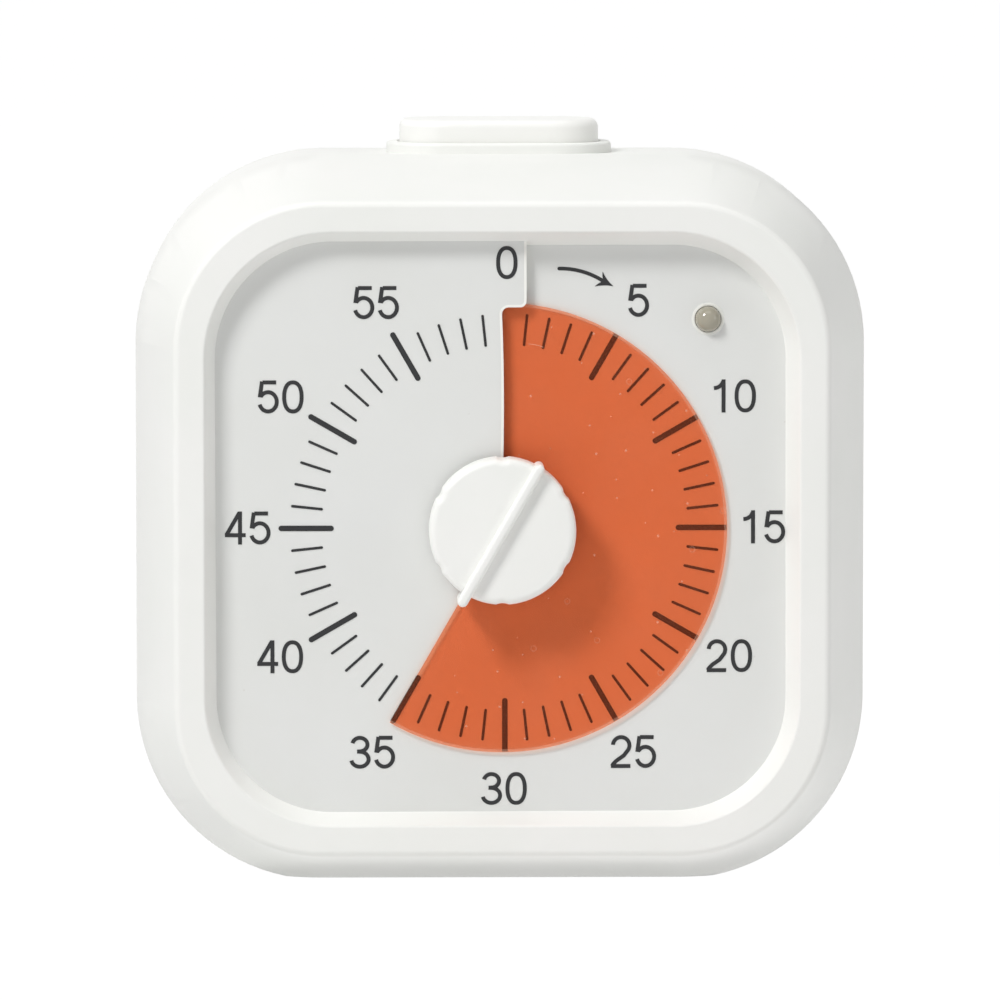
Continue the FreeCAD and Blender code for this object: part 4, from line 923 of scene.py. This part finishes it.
def make_case_screws():
    """Pan head screws with a cross recess, each turned as it was left."""
    head = start(bpy.ops.mesh.primitive_circle_add, "screw_head", vertices=48, radius=CASE_HEAD_R,
                 fill_type="NGON")
    raise_steps(head, [(0, CASE_HEAD_HEIGHT - CASE_HEAD_EDGE_R)] + quarter(CASE_HEAD_EDGE_R, 6))
    cross = []
    for turn in (0, 90):
        wing = start(bpy.ops.mesh.primitive_cube_add, "wing", size=1, location=(0, 0, CASE_HEAD_HEIGHT))
        wing.scale = CROSS_SIZE
        wing.rotation_euler.z = math.radians(turn)
        bpy.ops.object.transform_apply(location=True, rotation=True, scale=True)
        in_edit(wing, lambda face: face.normal.z < -0.5)
        bpy.ops.transform.resize(value=(CROSS_TAPER, CROSS_TAPER, 1))
        closed()
        cross.append(wing)
    for wing in cross:
        apply_modifier(head, "BOOLEAN", operation="DIFFERENCE", object=wing, solver="EXACT")
        remove(wing)
    smooth(head, 30)
    length = CASE_HEAD_FRONT - CASE_SCREW_TIP
    profile = [(0, -length), (CASE_POINT_R, -length), (CASE_SHANK_R, -length + CASE_POINT_LENGTH),
               (CASE_SHANK_R, 0.1), (0, 0.1)]
    shank = lathe("screw_shank", profile, 32)
    screw = join("case_screw", [head, shank])
    made = []
    for i, (x, y) in enumerate(CASE_SCREWS):
        one = copy_of(screw, f"case_screw_{i + 1}")
        spun = Matrix.Rotation(math.radians(20 + 37 * i), 4, "Z")
        towards_back = Matrix.Rotation(math.pi, 4, "X")
        one.data.transform(Matrix.Translation((x, y, -CASE_HEAD_FRONT)) @ towards_back @ spun)
        made.append(one)
    remove(screw)
    screws = join("case_screws_made", made)
    return dress(place(screws, FRONT_VIEW), finishes["screw_zinc"], "case", "screw_zinc", "case_screws")


def make_cell(row):
    side = -1 if row == 0 else 1
    tail, shoulder = 0.0, CELL_LENGTH - NUB_LENGTH
    profile = [(0, tail + 0.15), (3.4, tail + 0.15), (3.7, tail), (CELL_R - 0.3, tail),
               (CELL_R - 0.05, tail + 0.15),
               (CELL_R, tail + 0.5), (CELL_R, shoulder - 2.4), (CELL_R - 0.18, shoulder - 2.1),
               (CELL_R - 0.18, shoulder - 1.8), (CELL_R, shoulder - 1.5), (CELL_R, shoulder - 0.4),
               (CELL_R - 0.15, shoulder - 0.1), (CELL_R - 0.5, shoulder), (NUB_R + 1.0, shoulder),
               (NUB_R + 0.6, shoulder - 0.25), (NUB_R + 0.15, shoulder - 0.2), (NUB_R, shoulder),
               (NUB_R, shoulder + NUB_LENGTH - 0.3), (NUB_R - 0.1, shoulder + NUB_LENGTH - 0.1),
               (NUB_R - 0.35, shoulder + NUB_LENGTH), (0, shoulder + NUB_LENGTH)]
    cell = lathe(f"cell_{row + 1}", profile, 72)
    cell.data.materials.append(finishes["cell_sleeve"])
    cell.data.materials.append(finishes["coil_copper"])
    cell.data.materials.append(finishes["bright_steel"])
    head = side * (BAY_HALF - CONTACT)
    lie = Matrix.Rotation(math.radians(90 * side), 4, "Y")
    cell.data.transform(Matrix.Translation((head - side * CELL_LENGTH, CELL_ROWS[row], -CELL_DEPTH)) @ lie)
    for face in cell.data.polygons:
        along = abs(face.center.x - (head - side * CELL_LENGTH))
        out = math.hypot(face.center.y - CELL_ROWS[row], face.center.z + CELL_DEPTH)
        if out < CELL_R - 0.6 or (along > shoulder + 0.05):
            face.material_index = 2
        elif along > CELL_LENGTH * CELL_BAND:
            face.material_index = 1
    place(cell, FRONT_VIEW)
    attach(cell, "case")
    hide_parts("battery_cell_upper" if row == 0 else "battery_cell_lower")


def make_springs():
    made = []
    for side, y in ((1, CELL_ROWS[0]), (-1, CELL_ROWS[1])):
        room = 2 * BAY_HALF - 2 * CONTACT - CELL_LENGTH
        begin = side * (BAY_HALF - CONTACT - room + SPRING_WIRE_R)
        rise = side * (room - 2 * SPRING_WIRE_R)
        curve = bpy.data.curves.new("spring", "CURVE")
        curve.dimensions = "3D"
        curve.bevel_depth = SPRING_WIRE_R
        curve.bevel_resolution = 4
        curve.use_fill_caps = True
        line = curve.splines.new("NURBS")
        steps = SPRING_TURNS * SPRING_STEPS
        line.points.add(steps)
        for i in range(steps + 1):
            share = i / steps
            radius = SPRING_NARROW_R + (SPRING_WIDE_R - SPRING_NARROW_R) * share
            turn = 2 * math.pi * i / SPRING_STEPS
            line.points[i].co = (begin + rise * share, y + radius * math.cos(turn),
                                 -CELL_DEPTH + radius * math.sin(turn), 1)
        line.use_endpoint_u = True
        line.order_u = 4
        spring = bpy.data.objects.new("spring", curve)
        bpy.context.scene.collection.objects.link(spring)
        bpy.ops.object.select_all(action="DESELECT")
        spring.select_set(True)
        bpy.context.view_layer.objects.active = spring
        bpy.ops.object.convert(target="MESH")
        spring = bpy.context.object
        smooth(spring, 60)
        made.append(spring)
    springs = join("contact_springs", made)
    return dress(place(springs, FRONT_VIEW), finishes["spring_steel"], "case", "spring_steel",
                 "battery_springs")


# Lamp

def make_lamp():
    """A clear dome in a thin white rim."""
    x, y = LAMP_AT
    height = dial_height(x, y)
    top, foot, root = height + LAMP_RIM_RISE, height - 0.05, height - 1
    inner, outer, stem = LENS_R + 0.03, LAMP_R + LAMP_RIM, LAMP_R + 0.02
    profile = [(inner, root), (inner, top - 0.05), (inner + 0.05, top), (outer - 0.06, top),
               (outer, top - 0.05), (outer, foot), (stem, foot), (stem, root), (inner, root)]
    rim = lathe("lamp_rim", profile)
    rim.data.transform(Matrix.Translation((x, y, 0)))
    dress(place(rim, FRONT_VIEW), finishes["inner_white"], "case", "inner_white")
    dome_z = LAMP_PROUD - DIAL_RECESS - LENS_R
    lamp = start(bpy.ops.mesh.primitive_circle_add, "lamp_lens", vertices=64, radius=LENS_R,
                 fill_type="NGON", location=(x, y, LAMP_BACK))
    bpy.ops.object.transform_apply(location=True, rotation=False, scale=False)
    raise_steps(lamp, [(0, dome_z - LAMP_BACK)] + quarter(LENS_R - 0.01, 14))
    smooth(lamp, 60)
    return dress(place(lamp, FRONT_VIEW), finishes["clear_lens"], "case", "clear_lens", "led")


make_button_cap()
make_button_collar()
make_knob()
make_film()
make_ticks()
make_figures()
make_arrow()
make_slit_margin()
make_lamp()
make_case_screws()
make_cell(0)
make_cell(1)
make_springs()
softened("front_case", "front_shell", "case")
softened("rear_case", "rear_shell", "case")
softened("dial_plate", "dial_sheet_printed", "case", 20, flat=0)
softened("battery_door", "battery_lid", "door", 40, 0.15)


# Stage

FLOOR_SEEN = 0.93  # how much of the floor's white is its own where it is seen
FLOOR_BOUNCE = 0.26  # and where it lights the timer
FLOOR_GLOW = 1.06
FLOOR_SIZE = 12
FLOOR_BEHIND = 3.5
PAPER, PAPER_TINT = (0.86, 0.86, 0.86, 1), (0.88, 0.88, 0.88, 1)
BRIGHT = (1, 1, 1, 1)
AMBIENT = 0.19
LIGHT_DISTANCE = 1.0
LIGHTS = {"key_light": ((-0.52, -0.53, 0.67), 0.26, 0.63), "top_light": ((0, -0.1, 1), 0.8, 0.36),
          "side_light": ((1, -0.22, 0.15), 0.8, 0.24)}  # where it stands, its size and its level


def make_floor():
    floor = start(bpy.ops.mesh.primitive_plane_add, "floor", size=FLOOR_SIZE,
                  location=(0, FLOOR_BEHIND, 0))
    f = Finish("floor_white")
    paper = f.surface(Base_Color=f.mix(f.noise(3, 2), PAPER, PAPER_TINT), Roughness=0.9)
    glow = f.node("ShaderNodeEmission", {}, {"Color": BRIGHT, "Strength": FLOOR_GLOW})
    share = f.seen() * (FLOOR_SEEN - FLOOR_BOUNCE) + FLOOR_BOUNCE
    floor.data.materials.append(f.done(f.node("ShaderNodeMixShader", {}, {0: share, 1: paper, 2: glow})))


def make_world():
    """White where it is seen, and dimmer where it lights the timer."""
    f = Finish("studio", world=True)
    dim, white = (f.node("ShaderNodeBackground", {}, {"Color": BRIGHT, "Strength": level})
                  for level in (AMBIENT, 1.0))
    bpy.context.scene.world = f.done(f.node("ShaderNodeMixShader", {}, {0: f.seen(), 1: dim, 2: white}))


def make_light(name, direction, size, level):
    """level is how bright a white surface square to the light looks by it alone."""
    away = Vector(direction).normalized()
    light = bpy.data.lights.new(name, "AREA")
    light.size = size
    light.energy = level * math.pi ** 2 * LIGHT_DISTANCE ** 2
    lamp = bpy.data.objects.new(name, light)
    bpy.context.scene.collection.objects.link(lamp)
    lamp.location = FRONT_VIEW @ Vector((0, 0, 0)) + away * LIGHT_DISTANCE
    lamp.rotation_euler = away.to_track_quat("Z", "Y").to_euler()


CAMERA_DISTANCE = 900.0
CAMERA_ABOVE = 4.7
CAMERA_LEFT = 1.0
SENSOR_WIDTH = 36.0
PICTURE_WIDTH = 1000
PIXELS_PER_MM = 9.48
AIM = (-0.26, 3.2)  # what is in the middle of the picture, from the dial's axis


def make_camera():
    camera = bpy.data.cameras.new("camera")
    camera.sensor_width = SENSOR_WIDTH
    camera.lens = PIXELS_PER_MM * CAMERA_DISTANCE * SENSOR_WIDTH / PICTURE_WIDTH
    camera.clip_start = 0.01
    holder = bpy.data.objects.new("camera", camera)
    bpy.context.scene.collection.objects.link(holder)
    up, left = math.radians(CAMERA_ABOVE), math.radians(CAMERA_LEFT)
    away = Vector((-math.sin(left) * math.cos(up), -math.cos(left) * math.cos(up), math.sin(up)))
    target = Vector((AIM[0], -RING_TO_MIDDLE, AXIS_HEIGHT + AIM[1])) * MM
    holder.location = target + away * CAMERA_DISTANCE * MM
    holder.rotation_euler = away.to_track_quat("Z", "Y").to_euler()
    bpy.context.scene.camera = holder


make_floor()
make_world()
for name, (direction, size, level) in LIGHTS.items():
    make_light(name, direction, size, level)
make_camera()
bpy.context.scene.view_settings.view_transform = "Standard"
